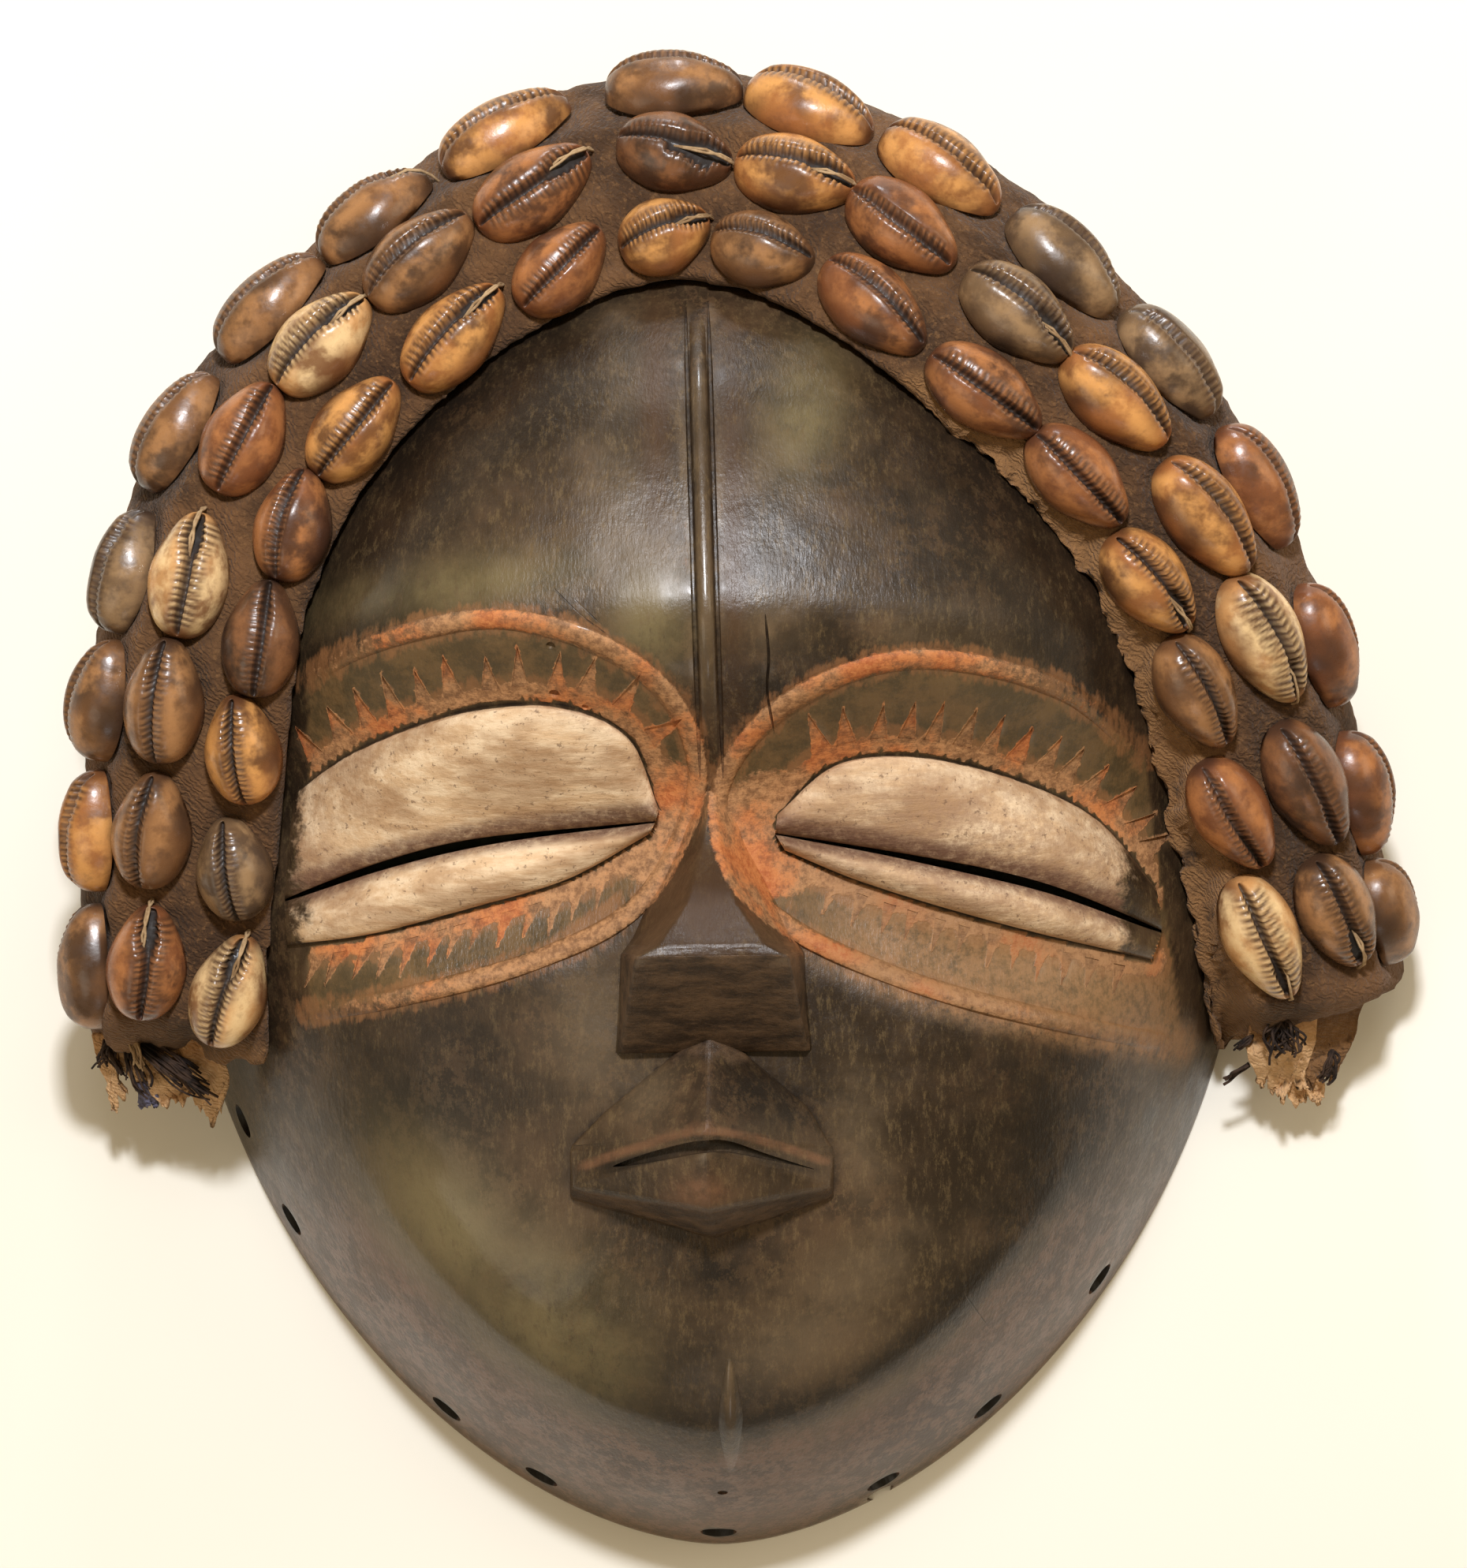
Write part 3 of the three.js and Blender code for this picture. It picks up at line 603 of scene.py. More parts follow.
def hollow():
    """The space behind the face, reaching below the rim so that it leaves it open."""
    tool = dome("hollow", 56, 150, WALL, adzed_hollow)
    edit(tool)
    bpy.ops.mesh.select_all(action="DESELECT")
    bpy.ops.mesh.select_mode(type="FACE")
    leave_edit()
    for face in tool.data.polygons:
        face.select = len(face.vertices) > 4
    bpy.ops.object.mode_set(mode="EDIT")
    bpy.ops.mesh.extrude_region_move(TRANSFORM_OT_translate={"value": (0, 0, -5)})
    leave_edit()
    return tool


def carved_wood():
    piece = dome("carved_wooden_mask", 118, 330, 0, hand_carved)
    raised = [nose(), mouth()]
    for eye in EYES:
        raised.append(lid("upper lid", eye, "upper_lid", UPPER_LID_BULGE))
        raised.append(lid("lower lid", eye, "lower_lid", LOWER_LID_BULGE))
        raised.append(rounded_bar("bead", smooth_line(eye["bead"], 110), BEAD_WIDTH, BEAD_HEIGHT))
    ridge = np.linspace(*FOREHEAD_RIDGE, 40)
    raised.append(rounded_bar("forehead ridge", ridge, 3.2, 1.2, taper=0.2))
    raised.append(rounded_bar("chin keel", np.linspace(*CHIN_KEEL, 20), 4.8, 1.5, taper=0.5))
    for tool in raised:
        combine(piece, tool, "UNION")

    cuts = [joined([notch(corners) for corners in notch_rows()]), mouth_slot()]
    cuts += [tool_along("groove", ridge + (beside, 0, 0), 0.9, 0.45) for beside in (-1.85, 1.85)]
    cuts.append(tool_along("crack", smooth_line(CRACK, 20), 0.45, 0.7))
    cuts += [tool_along("scratch", smooth_line(line, 14), 0.4, 0.22) for line in SCRATCHES]
    cuts += [slit_tool(eye) for eye in EYES]
    cuts += [rim_hole(x, y) for x, y in RIM_HOLES]
    cuts += [worm_hole(x, y, radius) for x, y, radius in WORM_HOLES]
    cuts += [broken_edge(), hollow()]
    for tool in cuts:
        combine(piece, tool, "DIFFERENCE")
    return piece


# The painted and worn places of the wood, with its painted sheen, highlights and shade, as masks on its
# points

# Soft ovals: x, y, half length, half width and turn. The right lid has lost more of its clay than the left,
# and both are worn at their outer corners. Sheen and pale lie where hands rubbed the wood; the sheen ovals
# are painted reflections, and the pale ones are partly painted highlights.
SPOTS = {
    "dull": [(70, -18, 20, 14, -0.4), (44, -12, 34, 16, -0.3), (-72, -12, 12, 14, 0), (-60, 6, 14, 4, 0.5),
             (-20, 12, 14, 3, -0.3)],
    "painted_sheen": [(-42, 32, 20, 4.5, 0.12), (-44, -72, 17, 9, -0.85), (-28, -87, 18, 11, -0.75),
              (-9, 26, 6, 8, 0), (16, 60, 6, 11, -0.25)],
    "pale": [(9, 27, 9, 8, 0), (-12, 52, 8, 26, 0.1), (14, -92, 16, 7, 0.3), (40, 20, 14, 5, -0.3),
             (-11, -50, 6, 4, 0.8), (-20, -40, 8, 12, 0), (26, -80, 16, 8, 0.6), (24, -56, 5, 13, 0.1)],
    "warm": [(0, -20, 13, 12, 0), (-8, 62, 2.5, 22, 0), (4, 40, 2.5, 30, 0)],
    # The stain ovals at (12, -52) and (7, -50) darken the mouth's right facet: stain and painted shade.
    "stain": [(1, -80, 6, 5, 0), (0.5, -119, 4, 3, 0), (-8, -113, 6, 3.5, 0.1), (6.5, -106, 2.2, 8, 0.1),
              (12, -52, 6, 5, -0.6), (-42, 62, 24, 14, 0.8), (46, 48, 22, 16, -0.8), (36, -108, 18, 10, 0.6),
              (-14, -112, 14, 7, 0), (62, 18, 16, 12, 0), (56, -62, 14, 24, 0), (7, -50, 7, 7, 0),
              (-70, 32, 14, 20, 0), (-30, 78, 26, 14, 0.5), (44, -20, 10, 6, 0), (-52, -52, 16, 12, 0.4),
              (-20, -100, 16, 6, 0.2)],
}
NOSE_TOP = [(0, -20, 12, 11, 0)]
# A pinkish painted highlight on the middle of the lower lip.
LOWER_LIP_HIGHLIGHT = [(-2.6, -65.4, 4.4, 2.4, 0)]
# Ochre was smeared down both sides of the nose.
NOSE_FLANKS = [[(-2, -3), (-12, -17), (-27, -27.5)], [(2.5, -4), (9, -17), (15, -25)]]
# Along this line a thin warm painted highlight is laid.
UPPER_LIP_EDGE = [(-22, -62), (-12, -58.2), (-1.2, -55.4), (9, -58), (18, -61.5)]
UNDER_LIP = [(-24.5, -65.3), (-1, -68.6), (20, -65.6), (20, -70), (-0.6, -76), (-24.5, -70)]


def soft_spots(points, spots):
    """The strongest of some soft-edged ovals at each point."""
    value = np.zeros(len(points))
    for x, y, long, wide, turn in spots:
        dx, dy = points[:, 0] - x, points[:, 1] - y
        along = (dx * math.cos(turn) + dy * math.sin(turn)) / long
        across = (dy * math.cos(turn) - dx * math.sin(turn)) / wide
        value = np.maximum(value, np.exp(-(along**2) - across**2))
    return value


def fading(distance, full, gone):
    """1 up to the distance full, falling to 0 at gone."""
    return 1 - smooth_step(distance, full, gone)


def eye_masks(points, raised):
    """Clay on the lids, grimy with painted shade at the slit, and round them the ochre, its wash and its
    ground.
    """
    masks = {name: np.zeros(len(points)) for name in ("clay", "ochre", "wash", "slit_grime_and_shade", "ground")}

    def lay(name, values):
        masks[name] = np.maximum(masks[name], values)

    side = np.abs(points[:, 0])
    worn_end = smooth_step(side + 2 * unevenness(points, 4, 5.1), 62, 72)
    for eye in EYES:
        slit_line = smooth_line(eye["slit"], 60)
        bead_line = smooth_line(eye["bead"], 90)
        lids = np.zeros(len(points), dtype=bool)
        to_lids = np.full(len(points), np.inf)
        for outline in ("upper_lid", "lower_lid"):
            line = smooth_line(eye[outline], 60)
            lids |= inside(points, np.concatenate([slit_line, line[::-1]])[:, :2])
            to_lids = np.minimum(to_lids, distance_to(points, line))
        between = inside(points, bead_line[:, :2]) & ~lids
        to_corner = np.hypot(*(points[:, :2] - slit_line[0, :2]).T)
        to_bead = distance_to(points, bead_line)
        lay("ochre", between * fading(to_lids, 2.4, 4))
        lay("ochre", between * fading(to_corner, 9, 13))
        lay("ochre", fading(to_bead, 0.9, 2.8) * (1 - 0.45 * smooth_step(side, 34, 68)))
        lay("clay", (lids & (raised > 0.2)) * (1 - 0.75 * worn_end))
        above_slit = points[:, 1] > np.interp(points[:, 0], *slit_line[np.argsort(slit_line[:, 0]), :2].T)
        reach = np.where(above_slit, 2.1, 0.8)
        lay("slit_grime_and_shade", lids * fading(distance_to(points, slit_line), reach, 1.6 + 1.4 * reach))
        lay("ground", between)
        lay("wash", between * (1 - 0.75 * smooth_step(to_lids, 3, 6.5)))
        lay("wash", 0.85 * fading(to_bead, 1.8, 5.5))
    for corners in notch_rows():
        grown = np.mean(corners, axis=0) + 1.12 * (np.array(corners) - np.mean(corners, axis=0))
        lay("ochre", inside(points, grown[:, :2]))
    for flank in NOSE_FLANKS:
        lay("wash", fading(distance_to(points, smooth_line(flank, 20)), 1, 5))
    ridge_line = np.array([(-1.3, 84, 0), (0.2, 0, 0)])
    lay("wash", 0.5 * fading(np.abs(distance_to(points, ridge_line) - 3.4), 0.8, 3.6))
    masks["ochre"][masks["clay"] > 0] = 0
    return masks


def painted_hole_shade(points):
    """Painted shade inside the rim's holes and along the line between the lips."""
    in_slot = fading(distance_to(points, smooth_line(MOUTH_LINE, 30)), 0.7, 1.2)
    hole_shade = 0.7 * in_slot * (1 - 0.5 * smooth_step(points[:, 0], 0, 6))
    for x, y in RIM_HOLES:
        middle = np.array([x, y, RIM_HOLE_HEIGHT])
        way = np.array(rim_hole_way(x, y))
        run = (points - middle) @ way
        off = np.linalg.norm(points - middle - run[:, None] * way, axis=1)
        hole_shade[(off < RIM_HOLE_RADIUS + 0.5) & (np.abs(run) < 14)] = 1
    return hole_shade


def paint_wood(piece):
    points = places(piece)
    x, y = points[:, 0], points[:, 1]
    raised = points[:, 2] - face_height(x, y)
    outside = smooth_step(raised, -3.5, -1.5)
    masks = eye_masks(points, raised)
    masks.update({name: soft_spots(points, spots) for name, spots in SPOTS.items()})
    masks["dull"] *= np.where(x > 0, 1, 0.75)
    masks["wash"] *= 1 - 0.8 * soft_spots(points, NOSE_TOP)
    dusty_band = smooth_step(x, 8, 30) * fading(y + 0.35 * x, -8, -2)
    masks["dust"] = dusty_band * np.maximum(masks["ground"], masks["wash"])
    to_lip_edge = distance_to(points, smooth_line(UPPER_LIP_EDGE, 30))
    masks["lips"] = np.maximum(0.7 * fading(to_lip_edge, 0.3, 1.0), 0.9 * soft_spots(points, LOWER_LIP_HIGHLIGHT))
    # Rough-cut wood under the nose and the lower lip's underside; on the lip's bevel the cut colour is also
    # painted shade.
    under_nose = (y < -27.2) & (y > -44.5) & (np.abs(x) < 16)
    masks["cut"] = (under_nose | inside(points, np.array(UNDER_LIP))) & (raised > 0.7)

    # Towards the rim the chin has a dark line along its shoulder, stain and painted shade, then a pale line
    # and a paler slope.
    ratio = outline_ratio(x, y)
    chin = smooth_step(-y, 58, 84)
    masks["slope"] = smooth_step(ratio + 0.03 * unevenness(points, 9, 1.3), 0.79, 0.84) * chin
    shoulder = np.exp(-(((ratio - 0.765) / 0.03) ** 2)) * np.where(x > 3, 1, 0.75)
    pale_line = 0.9 * np.exp(-(((ratio - 0.815) / 0.022) ** 2))
    masks["stain"] = np.maximum(masks["stain"], shoulder * chin)
    masks["pale"] = np.maximum(masks["pale"], pale_line * chin)
    for name, values in masks.items():
        set_attribute(piece, name, values * outside)
    set_attribute(piece, "hole_shade", painted_hole_shade(points))
    set_attribute(piece, "outside", outside)


def mark_edges(piece, reach):
    """Stores how sharply each place stands out as edge, and how deeply it is folded in as crease."""
    points = places(piece)
    normals = vectors(piece.data.vertex_normals, "vector")
    pairs = np.empty(len(piece.data.edges) * 2, dtype=np.int32)
    piece.data.edges.foreach_get("vertices", pairs)
    a, b = pairs.reshape(-1, 2).T
    run = points[b] - points[a]
    length = np.maximum(np.linalg.norm(run, axis=1), 1e-9)
    bend = np.sum((normals[b] - normals[a]) * run, axis=1) / length / np.maximum(length, 0.3 * reach)
    total = np.zeros(len(points))
    weight = np.zeros(len(points))
    for end in (a, b):
        np.add.at(total, end, bend)
        np.add.at(weight, end, 1)
    bend = total / np.maximum(weight, 1)
    nearness = np.exp(-(length / reach) ** 2)
    for _ in range(3):
        total = bend.copy()
        weight = np.ones(len(points))
        for end, other in ((a, b), (b, a)):
            np.add.at(total, end, nearness * bend[other])
            np.add.at(weight, end, nearness)
        bend = total / weight
    set_attribute(piece, "edge", smooth_step(bend * reach, 0.12, 0.55))
    set_attribute(piece, "crease", smooth_step(-bend * reach, 0.1, 0.5))


# The cowries

COWRIE_LENGTH = 20
COWRIE_WIDTH = 13
COWRIE_HEIGHT = 7
# Forms of cowrie: width of the mouth at its middle, how far it opens at the narrow end, its bow, how far
# it lies off the middle, and how long its teeth are on either side
COWRIE_FORMS = {
    "narrow": (0.4, 0.6, 0.6, -0.3, 2.4, 1.3),
    "open": (0.55, 2.2, 0.8, 0.1, 2.8, 1.6),
    "toothed": (0.5, 1.2, 0.7, -0.1, 3.8, 2.6),
    "worn": (0.4, 0.8, 1.0, 0.5, 2.0, 1.0),
    "broken": (0.55, 3.0, 0.4, 0.3, 2.2, 1.3),
}


def cowrie(form):
    """One cowrie, lying on its back with its mouth up and its narrow end towards +X."""
    half_gap, opening, bow, off, long_teeth, short_teeth = COWRIE_FORMS[form]
    deselect()
    bpy.ops.mesh.primitive_uv_sphere_add(segments=46, ring_count=84, radius=1, rotation=(0, math.pi / 2, 0))
    piece = made("cowrie_" + form)
    unit = places(piece)
    along = np.clip(unit[:, 0], -1, 1)
    ring = np.sqrt(np.maximum(1 - along**2, 1e-9))
    side = np.clip(unit[:, 1] / ring, -1, 1)
    up = unit[:, 2] >= -1e-6
    x = np.sign(along) * np.abs(along) ** 0.96 * COWRIE_LENGTH / 2
    narrowing = 1 - 0.3 * smooth_step(along, -0.15, 1) - 0.04 * smooth_step(-along, 0.2, 1)
    half_width = COWRIE_WIDTH / 2 * ring**0.8 * narrowing
    across = np.where(up, np.sign(side) * np.abs(side) ** 1.7, side)
    y = half_width * across
    tall = COWRIE_HEIGHT * ring**0.62 * (1 - 0.1 * smooth_step(along, 0, 1))
    z = np.where(up, tall * (1 - np.abs(across) ** 2.5) ** (1 / 2.2), -0.5 * np.sqrt(1 - side**2) * ring)

    middle = off + bow * np.cos(np.pi * x / COWRIE_LENGTH) * np.sign(off + 0.01)
    gap = half_gap * (1 + opening * smooth_step(x, 1, 6.5)) * np.sqrt(np.maximum(1 - (x / 10.4) ** 2, 0.02))
    if form == "broken":
        gap = gap + 1.7 * smooth_step(x, -1.5, -0.5) * (1 - smooth_step(x, 6, 7.5)) * (y < middle)
    tooth = (0.5 + 0.5 * np.cos(2 * np.pi * (x + 0.2 * np.abs(y) + 0.12 * np.sin(1.7 * x)) / 1.06)) ** 1.4
    ends = 1 - smooth_step(np.abs(x), 7.6, 9.2)
    reach = np.where(y > middle, long_teeth, short_teeth)
    beyond = np.abs(y - middle) - gap * (1 - 0.22 * tooth * ends)
    toothed = ends * (1 - smooth_step(beyond, 0.5 * reach, reach)) * smooth_step(beyond, -0.6, 0.1)
    furrow = 1 - smooth_step(beyond, -0.35, 0.45)
    fade = smooth_step(ring, 0.12, 0.45)
    lip_swell = 0.35 * np.exp(-((beyond - 1.4) / 1.3) ** 2) * ends
    z = np.where(up, z + fade * (lip_swell - 2.6 * furrow - 0.3 * toothed * (0.3 + 0.7 * (1 - tooth))), z)
    uneven = 0.3 * unevenness(np.stack([x, y, z], axis=1), 7, len(form))
    set_places(piece, np.stack([x, y * (1 + 0.01 * uneven), z + uneven * up * fade], axis=1))
    face_out(piece)
    bpy.ops.object.shade_smooth()
    set_attribute(piece, "teeth", np.where(up, toothed * (0.45 + 0.55 * (1 - tooth)), 0))
    lip = np.exp(-((beyond - 3.4) / 1.9) ** 2) * smooth_step(ring, 0.2, 0.5)
    set_attribute(piece, "lip", np.where(up, lip, 0))
    set_attribute(piece, "furrow", np.where(up, furrow * fade, 0))
    set_attribute(piece, "ridges", np.where(up, toothed * tooth, 0))
    # Low on the shell, where painted shade is laid.
    set_attribute(piece, "flank", 1 - smooth_step(z, 0.2, 2.0))
    return piece


def bed_of(node):
    """Where a shell's solid lies: its matrix, length and width, in metres. +X points along the row."""
    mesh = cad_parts[node].data
    points = np.array([vertex.co for vertex in mesh.vertices])
    spread = points - points.mean(axis=0)
    gaps = np.linalg.norm(spread[:, None] - spread[None], axis=2)
    first, last = np.unravel_index(np.argmax(gaps), gaps.shape)
    base = max(mesh.polygons, key=lambda face: face.area)
    upward = Vector(-base.normal)
    middle = (points[first] + points[last]) / 2
    forward = Vector(points[last] - points[first])
    # Rows run from the left end over the forehead to the right end, so the way along turns clockwise.
    from_centre = Vector((middle[0], middle[1] + 0.02, 0))
    if forward.cross(from_centre).z < 0:
        forward.negate()
    length = forward.length
    forward = (forward - upward * forward.dot(upward)).normalized()
    sideways = upward.cross(forward)
    width = float(np.ptp(points @ np.array(sideways)))
    lowest = float(np.min(points @ np.array(upward)))
    seat = Vector(middle)
    seat += upward * (lowest - seat.dot(upward))
    matrix = Matrix((forward, sideways, upward)).transposed().to_4x4()
    matrix.translation = seat
    return matrix, length, width


# For each row: the form and the finish of every shell, from the left end to the right end
ROWS = {
    "inner": ("onnnwnonowwnnonwt", "cgodroorobrrrobrc"),
    "middle": ("ownonowobowowwtno", "rbbcrcbrdorgoocdb"),
    "outer": ("wwnwnnonwnnwwnwnw", "bobgbbbobooggrrrb"),
}
FORM_LETTERS = {"n": "narrow", "o": "open", "t": "toothed", "w": "worn", "b": "broken"}


# Materials

def srgb(red, green, blue):
    """A colour given in 0 to 255 steps, as the shader wants it."""
    def linear(value):
        value /= 255
        return value / 12.92 if value <= 0.04045 else ((value + 0.055) / 1.055) ** 2.4

    return (linear(red), linear(green), linear(blue), 1)


class Bench:
    """Adds nodes to one node tree and wires them up."""

    def __init__(self, tree):
        self.tree = tree

    def fill(self, socket, value):
        if isinstance(value, bpy.types.NodeSocket):
            self.tree.links.new(value, socket)
        else:
            socket.default_value = value

    def fill_all(self, node, inputs):
        for key, value in inputs.items():
            self.fill(node.inputs[key.replace("_", " ")], value)

    def add(self, kind, settings=None, **inputs):
        node = self.tree.nodes.new("ShaderNode" + kind)
        for key, value in (settings or {}).items():
            setattr(node, key, value)
        self.fill_all(node, inputs)
        return node

    def group(self, tree, **inputs):
        node = self.add("Group", {"node_tree": tree})
        self.fill_all(node, inputs)
        return node.outputs

    def place(self):
        return self.add("TexCoord").outputs["Object"]

    def mask(self, name):
        return self.add("Attribute", {"attribute_name": name}).outputs["Fac"]

    def noise(self, vector, scale, detail=3.0, roughness=0.55):
        node = self.add("TexNoise", Vector=vector, Scale=scale, Detail=detail, Roughness=roughness)
        return node.outputs["Fac"]

    def stretched(self, vector, x, y, z):
        return self.add("Mapping", Vector=vector, Scale=(x, y, z)).outputs["Vector"]

    def between(self, value, low, high, to_low=0.0, to_high=1.0):
        inputs = {"From_Min": low, "From_Max": high, "To_Min": to_low, "To_Max": to_high}
        ramp = self.add("MapRange", {"interpolation_type": "SMOOTHSTEP"}, Value=value, **inputs)
        return ramp.outputs["Result"]

    def maths(self, operation, a, b, clamp=False):
        node = self.add("Math", {"operation": operation, "use_clamp": clamp})
        self.fill(node.inputs[0], a)
        self.fill(node.inputs[1], b)
        return node.outputs[0]

    def times(self, first, *others):
        for other in others:
            first = self.maths("MULTIPLY", first, other)
        return first

    def plus(self, a, b, clamp=False):
        return self.maths("ADD", a, b, clamp)

    def rest_of(self, value):
        """What is left of 1."""
        return self.maths("SUBTRACT", 1.0, value, clamp=True)

    def mix(self, part, a, b):
        node = self.add("Mix", {"data_type": "RGBA"})
        for index, value in ((0, part), (6, a), (7, b)):
            self.fill(node.inputs[index], value)
        return node.outputs[2]

    def over(self, colour, coat, *parts):
        """A colour with a coat laid over it, by the product of some parts."""
        return self.mix(self.times(*parts), colour, coat)

    def bump(self, shader, height, strength, distance):
        node = self.add("Bump", Height=height, Strength=strength, Distance=distance)
        self.fill(shader.inputs["Normal"], node.outputs["Normal"])


def new_group(name, inputs, outputs):
    """An empty shader group: its bench, its inputs by name, and its output node."""
    tree = bpy.data.node_groups.new(name, "ShaderNodeTree")
    for socket_name, kind, value in inputs:
        socket = tree.interface.new_socket(socket_name, in_out="INPUT", socket_type="NodeSocket" + kind)
        if value is not None:
            socket.default_value = value
    for socket_name, kind in outputs:
        tree.interface.new_socket(socket_name, in_out="OUTPUT", socket_type="NodeSocket" + kind)
    return Bench(tree), tree.nodes.new("NodeGroupInput").outputs, tree.nodes.new("NodeGroupOutput").inputs


def worn_paint_group():
    """Breaks a painted area up: it keeps its strength where it is thick and wears through along the grain."""
    bench, given, out = new_group(
        "worn paint",
        [("Mask", "Float", 1.0), ("Vector", "Vector", None), ("Scale", "Float", 200.0),
         ("Wear", "Float", 0.5)],
        [("Mask", "Float")],
    )
    patches = bench.noise(given["Vector"], given["Scale"], 6, 0.68)
    lost = bench.times(bench.rest_of(patches), given["Wear"], 1.6)
    bench.fill(out["Mask"], bench.between(bench.maths("SUBTRACT", given["Mask"], lost), -0.05, 0.25))
    return bench.tree


def grain_group():
    """Fine streaks along one direction, from 0 to 1, and a height for bump."""
    bench, given, out = new_group(
        "fine streaks",
        [("Vector", "Vector", None), ("Scale", "Float", 1000.0), ("Patch Scale", "Float", 60.0)],
        [("Streaks", "Float"), ("Height", "Float")],
    )
    fine = bench.noise(given["Vector"], given["Scale"], 4, 0.6)
    coarse = bench.noise(given["Vector"], given["Patch Scale"], 4, 0.6)
    uneven = bench.plus(bench.times(fine, 0.65), bench.times(coarse, 0.35))
    bench.fill(out["Streaks"], bench.between(uneven, 0.38, 0.62))
    bench.fill(out["Height"], fine)
    return bench.tree


def grime_group():
    """Dark grime and painted shade that lie in folds, broken up by a fine noise."""
    bench, given, out = new_group(
        "grime and painted shade in hollows",
        [("Colour", "Color", (0.1, 0.1, 0.1, 1)), ("Grime", "Color", (0.2, 0.16, 0.12, 1)),
         ("Hollow", "Float", 0.0), ("Vector", "Vector", None), ("Scale", "Float", 300.0),
         ("Amount", "Float", 0.5)],
        [("Colour", "Color")],
    )
    speckle = bench.between(bench.noise(given["Vector"], given["Scale"], 5, 0.65), 0.36, 0.62)
    grimy = bench.over(given["Colour"], given["Grime"], given["Hollow"], speckle, given["Amount"])
    bench.fill(out["Colour"], grimy)
    return bench.tree


def new_material(name, roughness, specular):
    material = bpy.data.materials.new(name)
    material.use_nodes = True
    bench = Bench(material.node_tree)
    shader = material.node_tree.nodes["Principled BSDF"]
    shader.inputs["Specular IOR Level"].default_value = specular
    bench.fill(shader.inputs["Roughness"], roughness)
    return material, bench, shader


worn_paint = worn_paint_group()
fine_streaks = grain_group()
grime_and_shade_in_hollows = grime_group()


def stained_wood(bench, place, clouds, cloudy, flecks):
    """The bare wood: clouded brown with pale ticks, dark stain in clusters of specks, and rubbed places with
    painted sheen and highlights.
    """
    colour = bench.mix(bench.between(clouds, 0.38, 0.64), srgb(43, 32, 22), srgb(84, 65, 45))
    red_brown = bench.between(bench.noise(place, 55, 2), 0.5, 0.7)
    colour = bench.over(colour, srgb(88, 62, 42), red_brown, 0.3)
    ticks = bench.between(bench.noise(bench.stretched(place, 1, 0.3, 0.5), 800, 10, 0.88), 0.5, 0.6, 0, 0.4)
    colour = bench.over(colour, srgb(128, 106, 72), ticks)
    clusters = bench.between(bench.noise(place, 58, 4, 0.6), 0.48, 0.62, 0.15, 0.8)
    colour = bench.over(colour, srgb(31, 23, 16), clusters, bench.between(flecks, 0, 1, 0.1, 0.85))
    flecked = bench.between(flecks, 0, 1, 0.55, 0.95)
    colour = bench.over(colour, srgb(27, 20, 14), bench.mask("stain"), flecked)
    # Pale places: rubbed wood, partly a painted highlight.
    colour = bench.over(colour, srgb(116, 99, 76), bench.mask("pale"), cloudy, 0.6)
    # Painted reflection: an olive sheen laid into the colour where the wood is rubbed.
    clear_of_ticks = bench.maths("SUBTRACT", cloudy, ticks)
    colour = bench.over(colour, srgb(122, 108, 72), bench.mask("painted_sheen"), clear_of_ticks)
    clear_of_flecks = bench.between(flecks, 0, 1, 0.85, 0.3)
    colour = bench.over(colour, srgb(108, 76, 56), bench.mask("slope"), clear_of_flecks)
    return bench.over(colour, srgb(72, 49, 30), bench.mask("warm"), 0.75)


def ochre_colours(bench, place, dusty):
    """Two mixed tones of ochre: dull where it is old, and brighter in patches."""
    patches = bench.plus(bench.times(bench.noise(place, 75, 3), 0.65), bench.times(dusty, 0.35))
    old = bench.mix(bench.between(dusty, 0.36, 0.62), srgb(130, 91, 59), srgb(194, 144, 99))
    bright = bench.mix(bench.between(dusty, 0.4, 0.6), srgb(180, 96, 48), srgb(208, 130, 74))
    return bench.mix(bench.between(patches, 0.46, 0.6), old, bright)


def clay_colours(bench, place, across_lids, dusty):
    """Dried clay: rubbed nearly white in places, dull in others, specked, and grimy with painted shade along
    the slit.
    """
    broad = bench.between(bench.noise(bench.stretched(place, 0.45, 1, 1), 110, 4, 0.6), 0.38, 0.6)
    colour = bench.mix(broad, srgb(172, 136, 100), srgb(216, 182, 142))
    rubbed = bench.between(bench.noise(across_lids, 420, 6, 0.68), 0.4, 0.62)
    colour = bench.over(colour, srgb(242, 218, 184), rubbed, bench.between(broad, 0, 1, 0.25, 0.7))
    dust = bench.between(dusty, 0.36, 0.62, 0.15, 0.8)
    colour = bench.over(colour, srgb(158, 125, 99), bench.mask("dull"), dust)
    specks = bench.between(bench.noise(place, 900, 4, 0.75), 0.58, 0.66)
    colour = bench.over(colour, srgb(112, 86, 66), specks, 0.7)
    # Along the slit the clay darkens: grime and painted shade.
    grime = bench.between(dusty, 0.3, 0.6, 0.5, 0.9)
    return bench.over(colour, srgb(102, 70, 54), bench.mask("slit_grime_and_shade"), grime)


